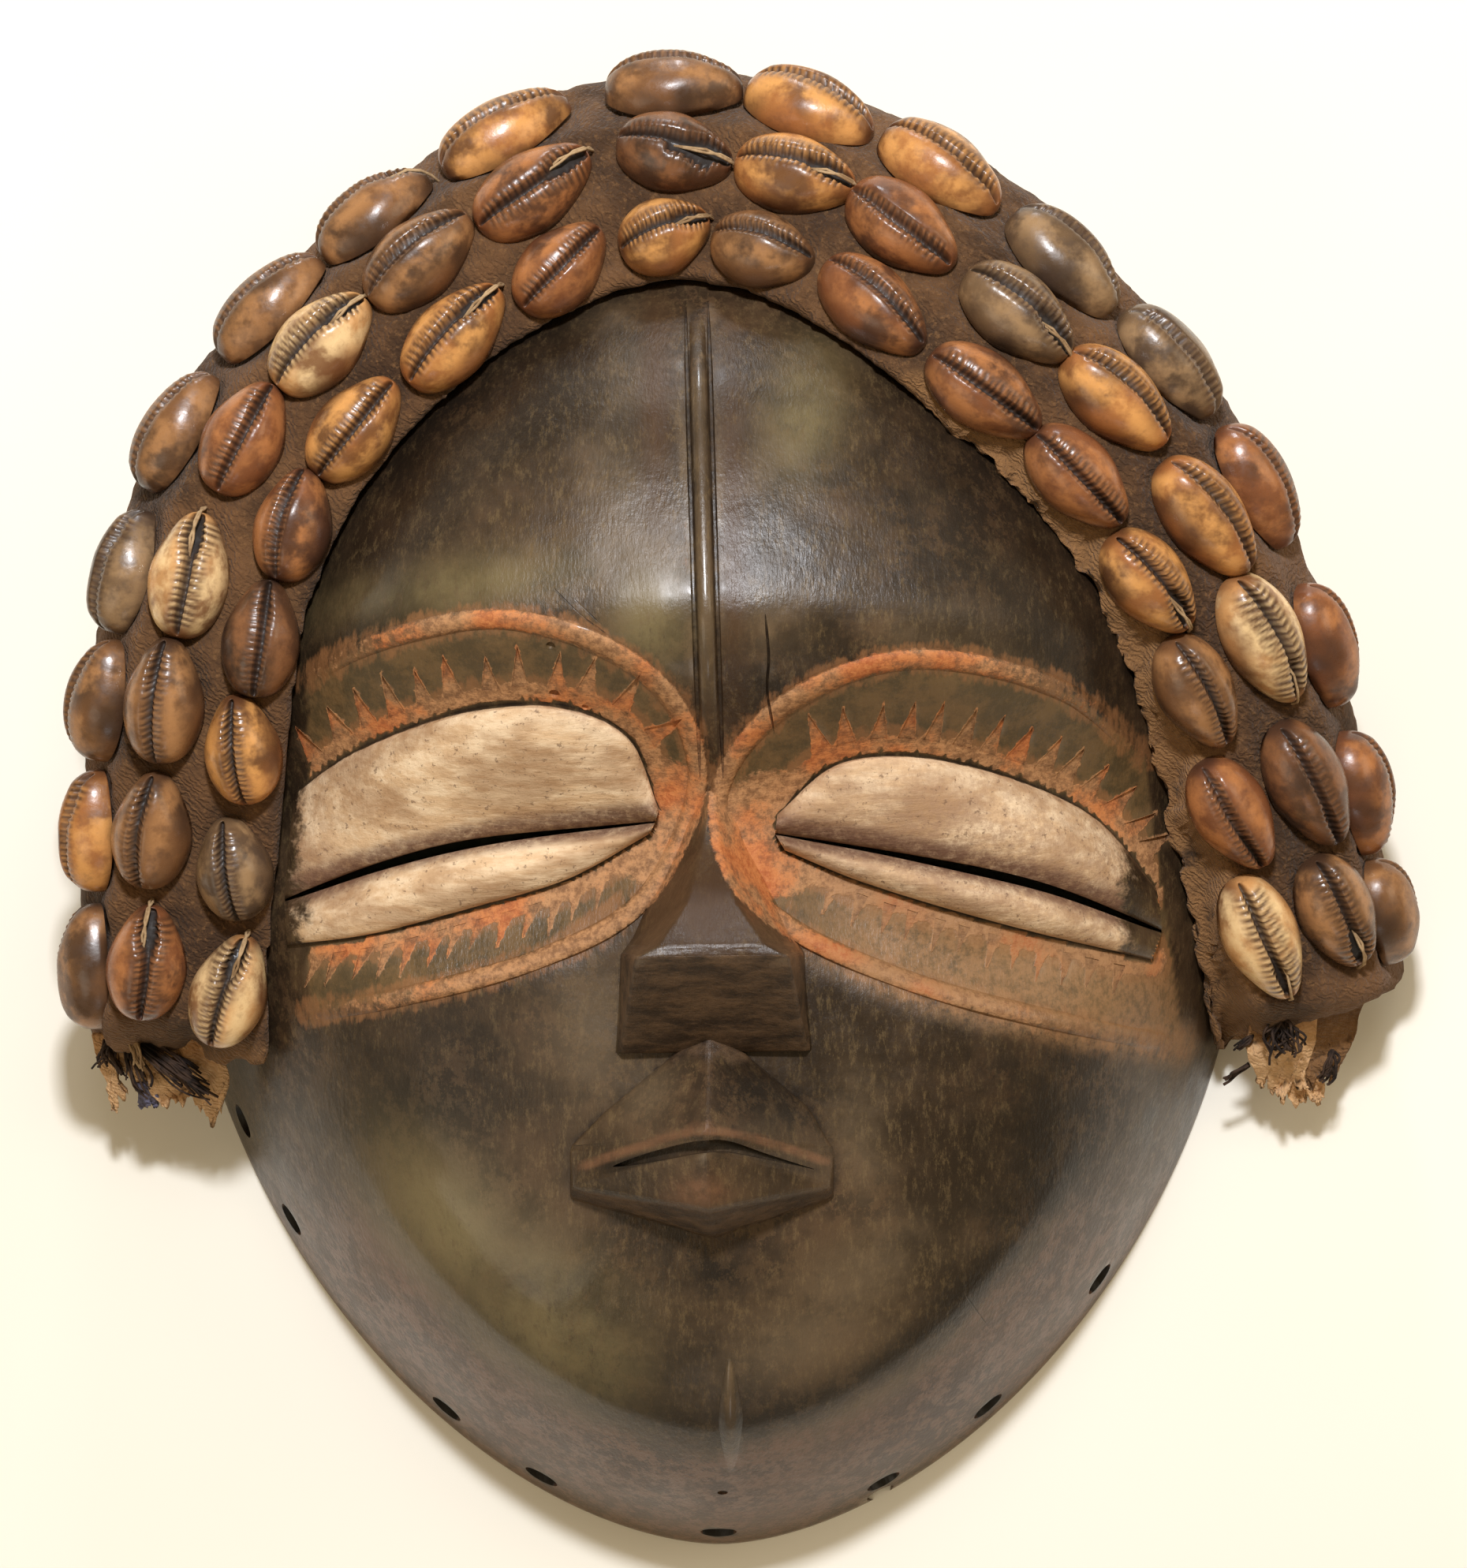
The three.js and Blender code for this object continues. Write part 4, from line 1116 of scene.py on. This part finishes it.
def handled_wood():
    """Dark stained wood, rubbed by hands, with clay on the lids, ochre in the eye bands, and painted sheen,
    highlights and shade.
    """
    material, bench, shader = new_material("dark handled wood", 0.5, 0.4)
    place = bench.place()
    down_grain = bench.stretched(place, 1, 0.3, 0.5)
    across_lids = bench.stretched(place, 0.22, 1, 1)
    streaks = bench.group(fine_streaks, Vector=down_grain, Scale=1900.0, Patch_Scale=260.0)
    clouds = bench.noise(place, 27, 8, 0.66)
    cloudy = bench.between(clouds, 0.36, 0.6, 0.25, 0.8)
    flecks = bench.between(bench.noise(bench.stretched(place, 1, 0.7, 0.8), 300, 11, 0.84), 0.45, 0.53)
    colour = stained_wood(bench, place, clouds, cloudy, flecks)
    tool_marks = bench.noise(bench.stretched(place, 0.45, 1.2, 1), 260, 9, 0.78)
    # The cut colour: rough-cut wood, and painted shade on the lower lip's bevel.
    cut_wood_and_shade_colour = bench.mix(bench.between(tool_marks, 0.36, 0.66), srgb(46, 34, 25), srgb(104, 80, 58))
    colour = bench.over(colour, cut_wood_and_shade_colour, bench.mask("cut"), 0.92)
    # Lips: warm painted highlights along the upper lip's edge and on the lower lip.
    lip_highlight_patches = bench.between(bench.noise(place, 420, 4), 0.3, 0.6, 0.4, 0.9)
    colour = bench.over(colour, srgb(124, 86, 60), bench.mask("lips"), lip_highlight_patches)

    def paint(name, vector, scale, wear):
        return bench.group(worn_paint, Mask=bench.mask(name), Vector=vector, Scale=scale, Wear=wear)["Mask"]

    ochre = paint("ochre", place, 760.0, 0.8)
    wash = paint("wash", down_grain, 560.0, 0.85)
    clay = paint("clay", across_lids, 620.0, 0.5)
    dusty = bench.noise(place, 620, 6, 0.78)
    mottled = bench.between(bench.noise(place, 130, 9, 0.8), 0.4, 0.6)
    ground = bench.mix(mottled, srgb(86, 72, 48), srgb(122, 96, 62))
    colour = bench.over(colour, ground, bench.mask("ground"), 0.7)
    colour = bench.over(colour, bench.mix(dusty, srgb(116, 80, 50), srgb(170, 118, 76)), wash, 0.6)
    colour = bench.over(colour, ochre_colours(bench, place, dusty), ochre, 0.84)
    dust = bench.between(dusty, 0.34, 0.62, 0.15, 0.8)
    colour = bench.over(colour, srgb(152, 114, 78), bench.mask("dust"), dust)
    colour = bench.mix(clay, colour, clay_colours(bench, place, across_lids, dusty))

    painted = bench.maths("MAXIMUM", clay, bench.times(ochre, 0.85))
    bare = bench.rest_of(painted)
    # Edges lighter: worn wood, and partly a painted highlight.
    colour = bench.over(colour, srgb(120, 98, 72), bench.mask("edge"), bare, 0.4)
    inside_wood = bench.rest_of(bench.mask("outside"))
    raw = bench.mix(streaks["Streaks"], srgb(96, 68, 46), srgb(140, 104, 72))
    colour = bench.over(colour, raw, inside_wood, 0.85)
    # Creases darkened: grime and painted shade.
    folded = bench.times(bench.mask("crease"), bench.between(painted, 0, 1, 1, 0.3))
    colour = bench.group(grime_and_shade_in_hollows, Colour=colour, Grime=srgb(40, 30, 23), Hollow=folded, Vector=place,
                         Scale=500.0, Amount=0.85)["Colour"]
    # Painted shade, near black, inside the rim's holes and between the lips.
    colour = bench.over(colour, srgb(22, 17, 14), bench.mask("hole_shade"))
    bench.fill(shader.inputs["Base Color"], colour)

    rough = bench.between(bench.plus(clouds, bench.times(flecks, 0.1)), 0.35, 0.75, 0.3, 0.46)
    rough = bench.plus(rough, bench.times(painted, 0.34))
    rough = bench.plus(rough, bench.times(inside_wood, 0.3), clamp=True)
    bench.fill(shader.inputs["Roughness"], rough)
    polished = bench.times(bench.maths("MAXIMUM", bench.mask("edge"), bench.mask("painted_sheen")), bare, 0.7)
    bench.fill(shader.inputs["Coat Weight"], polished)
    shader.inputs["Coat Roughness"].default_value = 0.14
    pores = bench.noise(place, 700, 4, 0.65)
    height = bench.plus(bench.times(streaks["Height"], 0.5), bench.times(pores, 0.4))
    height = bench.plus(height, bench.times(painted, bench.noise(across_lids, 900, 4, 0.7)))
    height = bench.plus(height, bench.times(bench.mask("cut"), tool_marks, 2))
    bench.bump(shader, height, 0.45, 0.0005)
    return material


def shell_finish(name, pale, middle, dark):
    """Cowrie shell stained by handling: pale where it is rubbed, dark in its teeth, with painted shade low on
    its flanks and in its mouth.
    """
    material, bench, shader = new_material(name, 0.3, 0.45)
    place = bench.place()
    small = bench.noise(place, 460, 5, 0.65)
    colour = bench.mix(bench.between(bench.noise(place, 78, 2, 0.5), 0.4, 0.6), dark, middle)
    rubbed = bench.between(bench.noise(bench.stretched(place, 1, 1, 1.3), 170, 4, 0.6), 0.38, 0.6, 0.1, 0.9)
    colour = bench.over(colour, pale, bench.mask("lip"), rubbed)
    colour = bench.over(colour, dark, bench.between(small, 0.5, 0.68), 0.3)
    # Painted shade: darker low on the shell's flanks, next to the cloth.
    colour = bench.over(colour, dark, bench.mask("flank"), 0.3)
    stained = bench.between(small, 0.25, 0.55, 0.6, 0.95)
    colour = bench.over(colour, srgb(72, 49, 36), bench.mask("teeth"), stained)
    colour = bench.over(colour, pale, bench.mask("ridges"), bench.between(small, 0.3, 0.6, 0.2, 0.6))
    furrow = bench.mask("furrow")
    # Painted shade: the mouth's furrow near black.
    colour = bench.over(colour, srgb(34, 26, 22), furrow)
    # Creases darkened: grime and painted shade.
    colour = bench.group(grime_and_shade_in_hollows, Colour=colour, Grime=srgb(60, 44, 34), Hollow=bench.mask("crease"),
                         Vector=place, Scale=600.0, Amount=0.6)["Colour"]
    bench.fill(shader.inputs["Base Color"], colour)
    rough = bench.plus(bench.between(small, 0.3, 0.7, 0.2, 0.42), bench.times(furrow, 0.4), clamp=True)
    bench.fill(shader.inputs["Roughness"], rough)
    bench.bump(shader, bench.noise(place, 900, 3, 0.6), 0.22, 0.0002)
    shader.inputs["Coat Weight"].default_value = 0.1
    shader.inputs["Coat Roughness"].default_value = 0.2
    return material


def matted_cloth(name, dark, light, fray):
    """Old cotton cloth, matted with dirt, with its weave and fuzz."""
    material, bench, shader = new_material(name, 0.95, 0.2)
    place = bench.place()
    fuzz = bench.noise(place, 900, 5, 0.75)
    colour = bench.mix(bench.between(bench.noise(place, 60, 5, 0.65), 0.35, 0.65), dark, light)
    colour = bench.over(colour, fray, bench.between(fuzz, 0.5, 0.68), 0.45)
    colour = bench.over(colour, fray, bench.mask("margin"), bench.between(fuzz, 0.3, 0.6, 0.5, 1))
    blue = bench.mix(fuzz, srgb(26, 44, 84), srgb(84, 108, 150))
    colour = bench.over(colour, blue, bench.mask("blue"), 0.85)
    # Creases between the shells darkened: painted shade and grime.
    colour = bench.group(grime_and_shade_in_hollows, Colour=colour, Grime=srgb(34, 26, 22), Hollow=bench.mask("crease"),
                         Vector=place, Scale=300.0, Amount=0.8)["Colour"]
    bench.fill(shader.inputs["Base Color"], colour)
    weave = bench.add("TexWave", {"wave_type": "BANDS", "bands_direction": "DIAGONAL"}, Vector=place,
                      Scale=420.0, Distortion=9.0, Detail=3.0, Detail_Scale=1.5).outputs["Fac"]
    bench.bump(shader, bench.plus(bench.times(fuzz, 0.7), bench.times(weave, 0.3)), 0.8, 0.0009)
    shader.inputs["Sheen Weight"].default_value = 0.1
    shader.inputs["Sheen Roughness"].default_value = 0.5
    return material


def thread_finish(name, dark, light):
    material, bench, shader = new_material(name, 0.9, 0.2)
    place = bench.place()
    patches = bench.between(bench.noise(place, 240, 4, 0.65), 0.4, 0.6)
    bench.fill(shader.inputs["Base Color"], bench.mix(patches, dark, light))
    bench.bump(shader, bench.noise(place, 2500, 2), 0.5, 0.0002)
    return material


wood_finish = handled_wood()
SHELL_FINISHES = {
    "c": shell_finish("cream cowrie", srgb(246, 212, 158), srgb(204, 150, 94), srgb(118, 76, 46)),
    "o": shell_finish("orange-brown cowrie", srgb(224, 162, 94), srgb(158, 100, 56), srgb(92, 58, 36)),
    "r": shell_finish("red-brown cowrie", srgb(182, 120, 72), srgb(122, 74, 46), srgb(74, 47, 34)),
    "b": shell_finish("brown cowrie", srgb(172, 124, 80), srgb(114, 78, 50), srgb(70, 49, 35)),
    "d": shell_finish("dark cowrie", srgb(140, 94, 60), srgb(92, 61, 42), srgb(56, 40, 31)),
    "g": shell_finish("grey-brown cowrie", srgb(160, 128, 92), srgb(108, 84, 60), srgb(68, 52, 41)),
}
cloth_finish = matted_cloth("matted dark cloth", srgb(68, 48, 32), srgb(110, 78, 50), srgb(146, 107, 68))
torn_finish = matted_cloth("torn tan cloth", srgb(164, 118, 74), srgb(208, 158, 106), srgb(226, 186, 140))
pale_thread = thread_finish("pale sewing thread", srgb(140, 112, 80), srgb(180, 152, 116))
dark_thread = thread_finish("dark loose thread", srgb(36, 30, 28), srgb(70, 54, 44))


# The pieces in their places

EDGE_REACH = 1.2
SHELLS_IN_ROW = 17
# The headband's inner edge at the right temple, where the cloth is torn and paler
TORN_EDGE = [(37, 59.5, 67.5), (54.8, 42.8, 64), (67.6, 21.8, 57), (76, -3, 46), (85.5, -43, 34)]
# Down the mouth of a cowrie: the share of its half length, and the height over its bed
STITCH = [(0.55, 5.0), (0.8, 4.5), (0.97, 2.9), (1.06, 1.1), (1.1, -0.6)]
STITCH_RADIUS = 0.00024


def wooden_mask():
    piece = carved_wood()
    paint_wood(piece)
    mark_edges(piece, EDGE_REACH)
    place_in_frame(piece)
    take(piece)
    bpy.ops.object.shade_smooth_by_angle(angle=math.radians(38))
    keep(piece, ["wooden_mask"], wood_finish)


def sew_cowries():
    """Copies the modelled cowries onto their beds, each at its own length and width."""
    forms = {form: cowrie(form) for form in COWRIE_FORMS}
    for form in forms.values():
        mark_edges(form, EDGE_REACH / 2)
    random.seed(17)
    for row, (form_letters, tones) in ROWS.items():
        for number, (letter, tone) in enumerate(zip(form_letters, tones), 1):
            node = f"cowrie_{row}_{number:02d}"
            matrix, length, width = bed_of(node)
            shell = new_piece("sewn_" + node, forms[FORM_LETTERS[letter]].data.copy())
            turned = 1 if random.random() < 0.8 else -1
            fit = Matrix.Diagonal((length / COWRIE_LENGTH, width / COWRIE_WIDTH * turned, MM, 1))
            shell.data.transform(matrix @ fit)
            if turned < 0:
                shell.data.flip_normals()
            keep(shell, [node], SHELL_FINISHES[tone])
    for form in forms.values():
        bpy.data.objects.remove(form, do_unlink=True)


def swelling(points, outer):
    """How full the cloth is between the shells at each point, and how clear of them it lies, from 0 to 1."""
    beds = [bed_of(f"cowrie_{row}_{number:02d}") for row in ROWS for number in range(1, SHELLS_IN_ROW + 1)]
    tree = kdtree.KDTree(len(beds))
    for i, (matrix, _, _) in enumerate(beds):
        tree.insert(matrix.translation, i)
    tree.balance()
    inverses = [matrix.inverted() for matrix, _, _ in beds]
    full = np.zeros(len(points))
    clear = np.ones(len(points))
    for i, point in enumerate(points):
        if outer[i] <= 0:
            continue
        swell = 1.0
        for _, bed, _ in tree.find_n(point, 3):
            _, length, width = beds[bed]
            local = inverses[bed] @ Vector(point)
            if abs(local.z) < 0.008:
                spread = math.hypot(local.x / (length / 2), local.y / (width / 2))
                swell = min(swell, (spread - 0.95) / 0.75)
        full[i] = max(swell, 0) * (2 - max(swell, 0))
        clear[i] = min(max(3 * swell, 0), 1)
    return full, clear


def padded_headband():
    """The band's cloth swells between the shells and is drawn in under them, and its right edge is ragged."""
    piece = new_piece("padded_cloth_headband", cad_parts["cloth_headband"].data.copy())
    edit(piece)
    bpy.ops.mesh.remove_doubles(threshold=1e-5)
    leave_edit()
    apply_modifier(piece, "REMESH", mode="VOXEL", voxel_size=0.0014)
    apply_modifier(piece, "SMOOTH", iterations=5, factor=0.6)
    points = places(piece)
    millimetres = points / MM
    normals = vectors(piece.data.vertex_normals, "vector")
    away = points - (LAYOUT[0] * MM, LAYOUT[1] * MM, 0.02)
    away /= np.linalg.norm(away, axis=1)[:, None]
    outer = smooth_step(np.sum(away * normals, axis=1), -0.1, 0.5)
    full, clear = swelling(points, outer)
    lumps = 0.75 * unevenness(millimetres, 11, 4.7) + 0.45 * unevenness(millimetres, 4.2, 1.9)
    lumps += 0.25 * unevenness(millimetres, 1.8, 6.6)
    points = points + normals * ((1.25 * full + lumps) * outer * MM)[:, None]
    to_edge = distance_to(points, (smooth_line(TORN_EDGE, 80) + LAYOUT) * MM) / MM
    # Beyond the shells the cloth thins out over the wood towards its torn edge.
    wood = face_height(millimetres[:, 0] - LAYOUT[0], millimetres[:, 1] - LAYOUT[1])
    above = points[:, 2] / MM - wood
    thinner = fading(to_edge, 0, 7.5) * clear * smooth_step(above, 0.5, 2)
    points[:, 2] -= 0.75 * np.maximum(above - 1, 0) * thinner * MM
    shreds = 2.2 * unevenness(millimetres, 7, 9.5) + 1.6 * unevenness(millimetres, 2.6, 2.5)
    points[:, :2] -= away[:, :2] * (fading(to_edge, 1.0, 3.5) * shreds * MM)[:, None]
    # The two ends are not cut straight: they sag and fray out below the last shells.
    end = fading(points[:, 1] / MM + 37, -2, 5)
    sag = 1.6 + 2.4 * unevenness(millimetres, 6, 5.5) + 1.2 * unevenness(millimetres, 2.4, 3.3)
    points[:, 1] -= end * sag * MM
    points[:, 2] -= 0.35 * end * np.maximum(above, 0) * outer * MM
    set_places(piece, points)
    margin = fading(to_edge + 2 * unevenness(millimetres, 5, 7.7), 5, 10)
    ends = fading(points[:, 1] / MM + 39.5 + 1.5 * unevenness(millimetres, 4, 0.7), -1.5, 3.5)
    set_attribute(piece, "margin", np.maximum(margin, 0.8 * ends))
    mark_edges(piece, 0.002)
    shade_smooth(piece)
    keep(piece, ["cloth_headband"], cloth_finish)


def thread(points, radius):
    """A round thread along some points, as a closed mesh."""
    path = bpy.data.curves.new("thread", "CURVE")
    path.dimensions = "3D"
    path.bevel_depth = radius
    path.bevel_resolution = 1
    path.use_fill_caps = True
    path.resolution_u = 1
    spline = path.splines.new("POLY")
    spline.points.add(len(points) - 1)
    for target, point in zip(spline.points, points):
        target.co = (*point, 1)
    take(new_piece("thread", path))
    bpy.ops.object.convert(target="MESH")
    return bpy.context.object


def thread_bundle(name, strands, nodes, material):
    piece = joined(strands)
    piece.name = piece.data.name = name
    keep(piece, nodes, material)


def sewing_threads():
    """The thread of each gaping shell lies in its mouth and goes into the cloth at its narrow end."""
    random.seed(5)
    strands = []
    for row, (form_letters, _) in ROWS.items():
        for number, letter in enumerate(form_letters, 1):
            if letter not in "obt":
                continue
            matrix, length, _ = bed_of(f"cowrie_{row}_{number:02d}")
            half = length / MM / 2
            wander = random.uniform(-0.25, 0.25)
            start = 0 if letter == "b" else 0.25
            for twist in (0, 1) if letter in "ob" else (0,):
                line = []
                for i, (share, z) in enumerate([(start, 4.2), *STITCH]):
                    sway = wander + 0.3 * math.sin(i * 1.9 + 3 * twist)
                    line.append(matrix @ (Vector((share * half, sway, z)) * MM))
                strands.append(thread(line, STITCH_RADIUS))
    thread_bundle("sewing_threads", strands, [], pale_thread)


def rag(corners, folds, depth, seed, blue=0.0):
    """A torn bit of the band's lining, crumpled in folds that fan from one corner."""
    top_left, top_right, low_left, low_right = (np.array(corner, float) for corner in corners)
    size = np.linalg.norm(low_right - top_left)

    def shape(u, v):
        u = u[:, None]
        v = v[:, None]
        hem = v * (1 + 0.09 * np.sin(9 * u + seed) + 0.07 * np.sin(23 * u + 2 * seed) + 0.05 * np.sin(57 * u))
        flat = (top_left * (1 - u) + top_right * u) * (1 - hem) + (low_left * (1 - u) + low_right * u) * hem
        turn = flat + 0.14 * size * np.sin(6 * v + 4 * u + seed) * v * np.array([0.5, 0.2, 0])
        spread = np.linalg.norm(turn[:, :2] - top_left[:2], axis=1) / size
        crumple = unevenness(turn, 0.24 * size, seed) + 0.6 * unevenness(turn, 0.11 * size, seed + 3)
        up = depth * (0.7 * np.sin(2 * np.pi * folds * spread + 1.5 * crumple + seed) + 0.8 * crumple)
        turn[:, 2] += up * (0.35 + 0.65 * v[:, 0])
        return turn

    piece = sheet_of("rag", 44, 40, shape)
    set_attribute(piece, "margin", 0.75 * smooth_step(top_left[1] - places(piece)[:, 1], 1, 7))
    set_attribute(piece, "blue", np.full(len(piece.data.vertices), blue))
    apply_modifier(piece, "SOLIDIFY", thickness=0.8, offset=0)
    return piece


def hang_rags(name, node, rags, material):
    """Puts a few rags together as one piece that hangs from the end of the band."""
    piece = joined(rags)
    piece.name = piece.data.name = name
    mark_edges(piece, EDGE_REACH)
    place_in_frame(piece)
    shade_smooth(piece)
    keep(piece, [node], material)


def scattered(*spreads):
    return Vector([random.gauss(0, spread) for spread in spreads])


def loose_threads(name, node, seed, tufts, material):
    """Broken threads in tufts: from one place towards another, how many, how far they stray, how curled."""
    random.seed(seed)
    strands = []
    for start, end, count, stray, curl in tufts:
        start = Vector(start)
        way = Vector(end) - start
        for _ in range(count):
            root = start + scattered(0.3, 0.2, 0.25) * stray
            tip = root + way * random.uniform(0.65, 1.1) + scattered(0.5, 0.5, 0.5) * stray
            bow = scattered(0.5, 0.5, 0.5) * stray + Vector((0, 0, 1.2))
            phase = random.uniform(0, 6.3)
            line = []
            for part in np.linspace(0, 1, 9):
                wave = Vector((math.cos(phase + 7 * part), 0, math.sin(phase + 7 * part))) * curl * part
                point = root.lerp(tip, part) + bow * math.sin(math.pi * part) + wave
                line.append((point + Vector(LAYOUT)) * MM)
            strands.append(thread(line, random.uniform(0.00014, 0.00026)))
    thread_bundle(name, strands, [node], material)


# Each lamp's place, width and height, power and colour
LAMPS = {
    "small window above": ((0.0, 0.5, 1.0), (0.1, 0.08), 10, (0.97, 1, 1.07)),
    "window above": ((0.02, 0.55, 1.0), (0.5, 0.32), 1.8, (1, 0.93, 0.8)),
    "low window above": ((-0.03, 1.25, 0.24), (0.16, 0.12), 3.0, (0.84, 0.92, 1)),
    "low window below": ((0.05, -1.1, 0.62), (0.3, 0.2), 0.45, (0.84, 0.92, 1)),
    "soft right": ((0.85, 0.25, 0.75), (0.5, 0.5), 1.6, (1, 0.88, 0.68)),
    "soft left": ((-0.65, -0.5, 0.8), (0.6, 0.6), 1.6, (1, 0.9, 0.74)),
}
LAMP_AIM = Vector((0, 0, 0.04))


def studio():
    """A pale floor, soft light from above the forehead, and the camera straight over the mask."""
    deselect()
    bpy.ops.mesh.primitive_plane_add(size=6, location=(0, 0, -0.0002))
    floor = made("floor")
    material, bench, shader = new_material("pale floor", 0.85, 0.2)
    tint = bench.between(bench.noise(bench.place(), 5, 2), 0.3, 0.7)
    bench.fill(shader.inputs["Base Color"], bench.mix(tint, srgb(247, 242, 229), srgb(251, 247, 236)))
    floor.data.materials.append(material)
    world = bpy.data.worlds.new("soft room")
    world.use_nodes = True
    background = world.node_tree.nodes["Background"]
    background.inputs["Color"].default_value = (1.0, 0.76, 0.42, 1)
    background.inputs["Strength"].default_value = 0.29
    bpy.context.scene.world = world
    for name, (place, size, energy, colour) in LAMPS.items():
        lamp = bpy.data.lights.new(name, "AREA")
        lamp.shape = "RECTANGLE"
        lamp.size, lamp.size_y = size
        lamp.energy = energy
        lamp.color = colour
        holder = new_piece(name, lamp)
        holder.location = place
        holder.rotation_euler = (LAMP_AIM - Vector(place)).to_track_quat("-Z", "Y").to_euler()
    camera = new_piece("camera", bpy.data.cameras.new("camera"))
    camera.data.lens = 132.2
    camera.data.sensor_width = 36
    camera.location = (-0.0013, 0.0049, 1.0)
    camera.rotation_euler = (0, 0, -0.0125)
    bpy.context.scene.camera = camera
    bpy.context.scene.view_settings.view_transform = "Standard"


studio()
wooden_mask()
sew_cowries()
padded_headband()
sewing_threads()
hang_rags("torn_cloth_left", "frayed_end_left", [
    rag([(-96, -42, 27), (-83.5, -41, 30), (-95, -52.5, 21), (-82.8, -55, 19)], 3.2, 1.5, 1.0),
    rag([(-101, -41, 25), (-94, -41, 27), (-100, -50, 20), (-94.5, -52, 20)], 1.6, 1.2, 2.2),
    rag([(-105.5, -41, 24), (-101.5, -41, 25), (-103.2, -53, 17), (-100.6, -52.5, 18)], 1.3, 0.9, 3.1),
    rag([(-98.4, -49.6, 22), (-95, -49.4, 22.5), (-97.8, -53.4, 20), (-94.8, -53.2, 20)], 1.0, 0.5, 0.4,
        blue=1.0),
], torn_finish)
loose_threads("dark_threads_left", "frayed_end_left", 11, [
    ((-97.5, -42, 28), (-86.5, -50.5, 26), 46, 1.5, 0.3),
    ((-102, -41, 26), (-104.6, -47, 23), 8, 0.8, 0.6),
    ((-99, -43, 26), (-96.5, -50.5, 24), 12, 1.4, 0.5),
    ((-103, -42, 25), (-100.5, -49, 22), 8, 0.8, 0.4),
], dark_thread)
loose_threads("pale_threads_left", "frayed_end_left", 12, [
    ((-98.4, -40, 30), (-97, -46, 28), 26, 0.9, 0.15),
], pale_thread)
hang_rags("brown_tab_right", "frayed_end_right", [
    rag([(101, -38, 20), (111, -38, 17), (101.5, -51.5, 13), (107.5, -50, 12)], 1.2, 1.1, 0.7),
], cloth_finish)
hang_rags("torn_cloth_right", "frayed_end_right", [
    rag([(90.8, -41, 22), (102.5, -41, 20), (91.5, -52.5, 15), (101.5, -53.5, 14)], 2.2, 2.0, 2.3),
    rag([(97.5, -49.5, 14), (103, -49.5, 14), (99, -56, 11), (105, -55, 11)], 1.1, 1.0, 1.2),
], torn_finish)
loose_threads("dark_threads_right", "frayed_end_right", 13, [
    ((95.5, -41, 24), (96.5, -46, 23), 40, 2.6, 0.9),
    ((105, -47, 17), (104, -52, 15), 16, 1.2, 0.5),
    ((91.6, -44, 20), (88.6, -46.5, 19), 9, 0.5, 0.2),
    ((91, -49, 17), (86.6, -52, 15), 7, 0.6, 0.4),
], dark_thread)
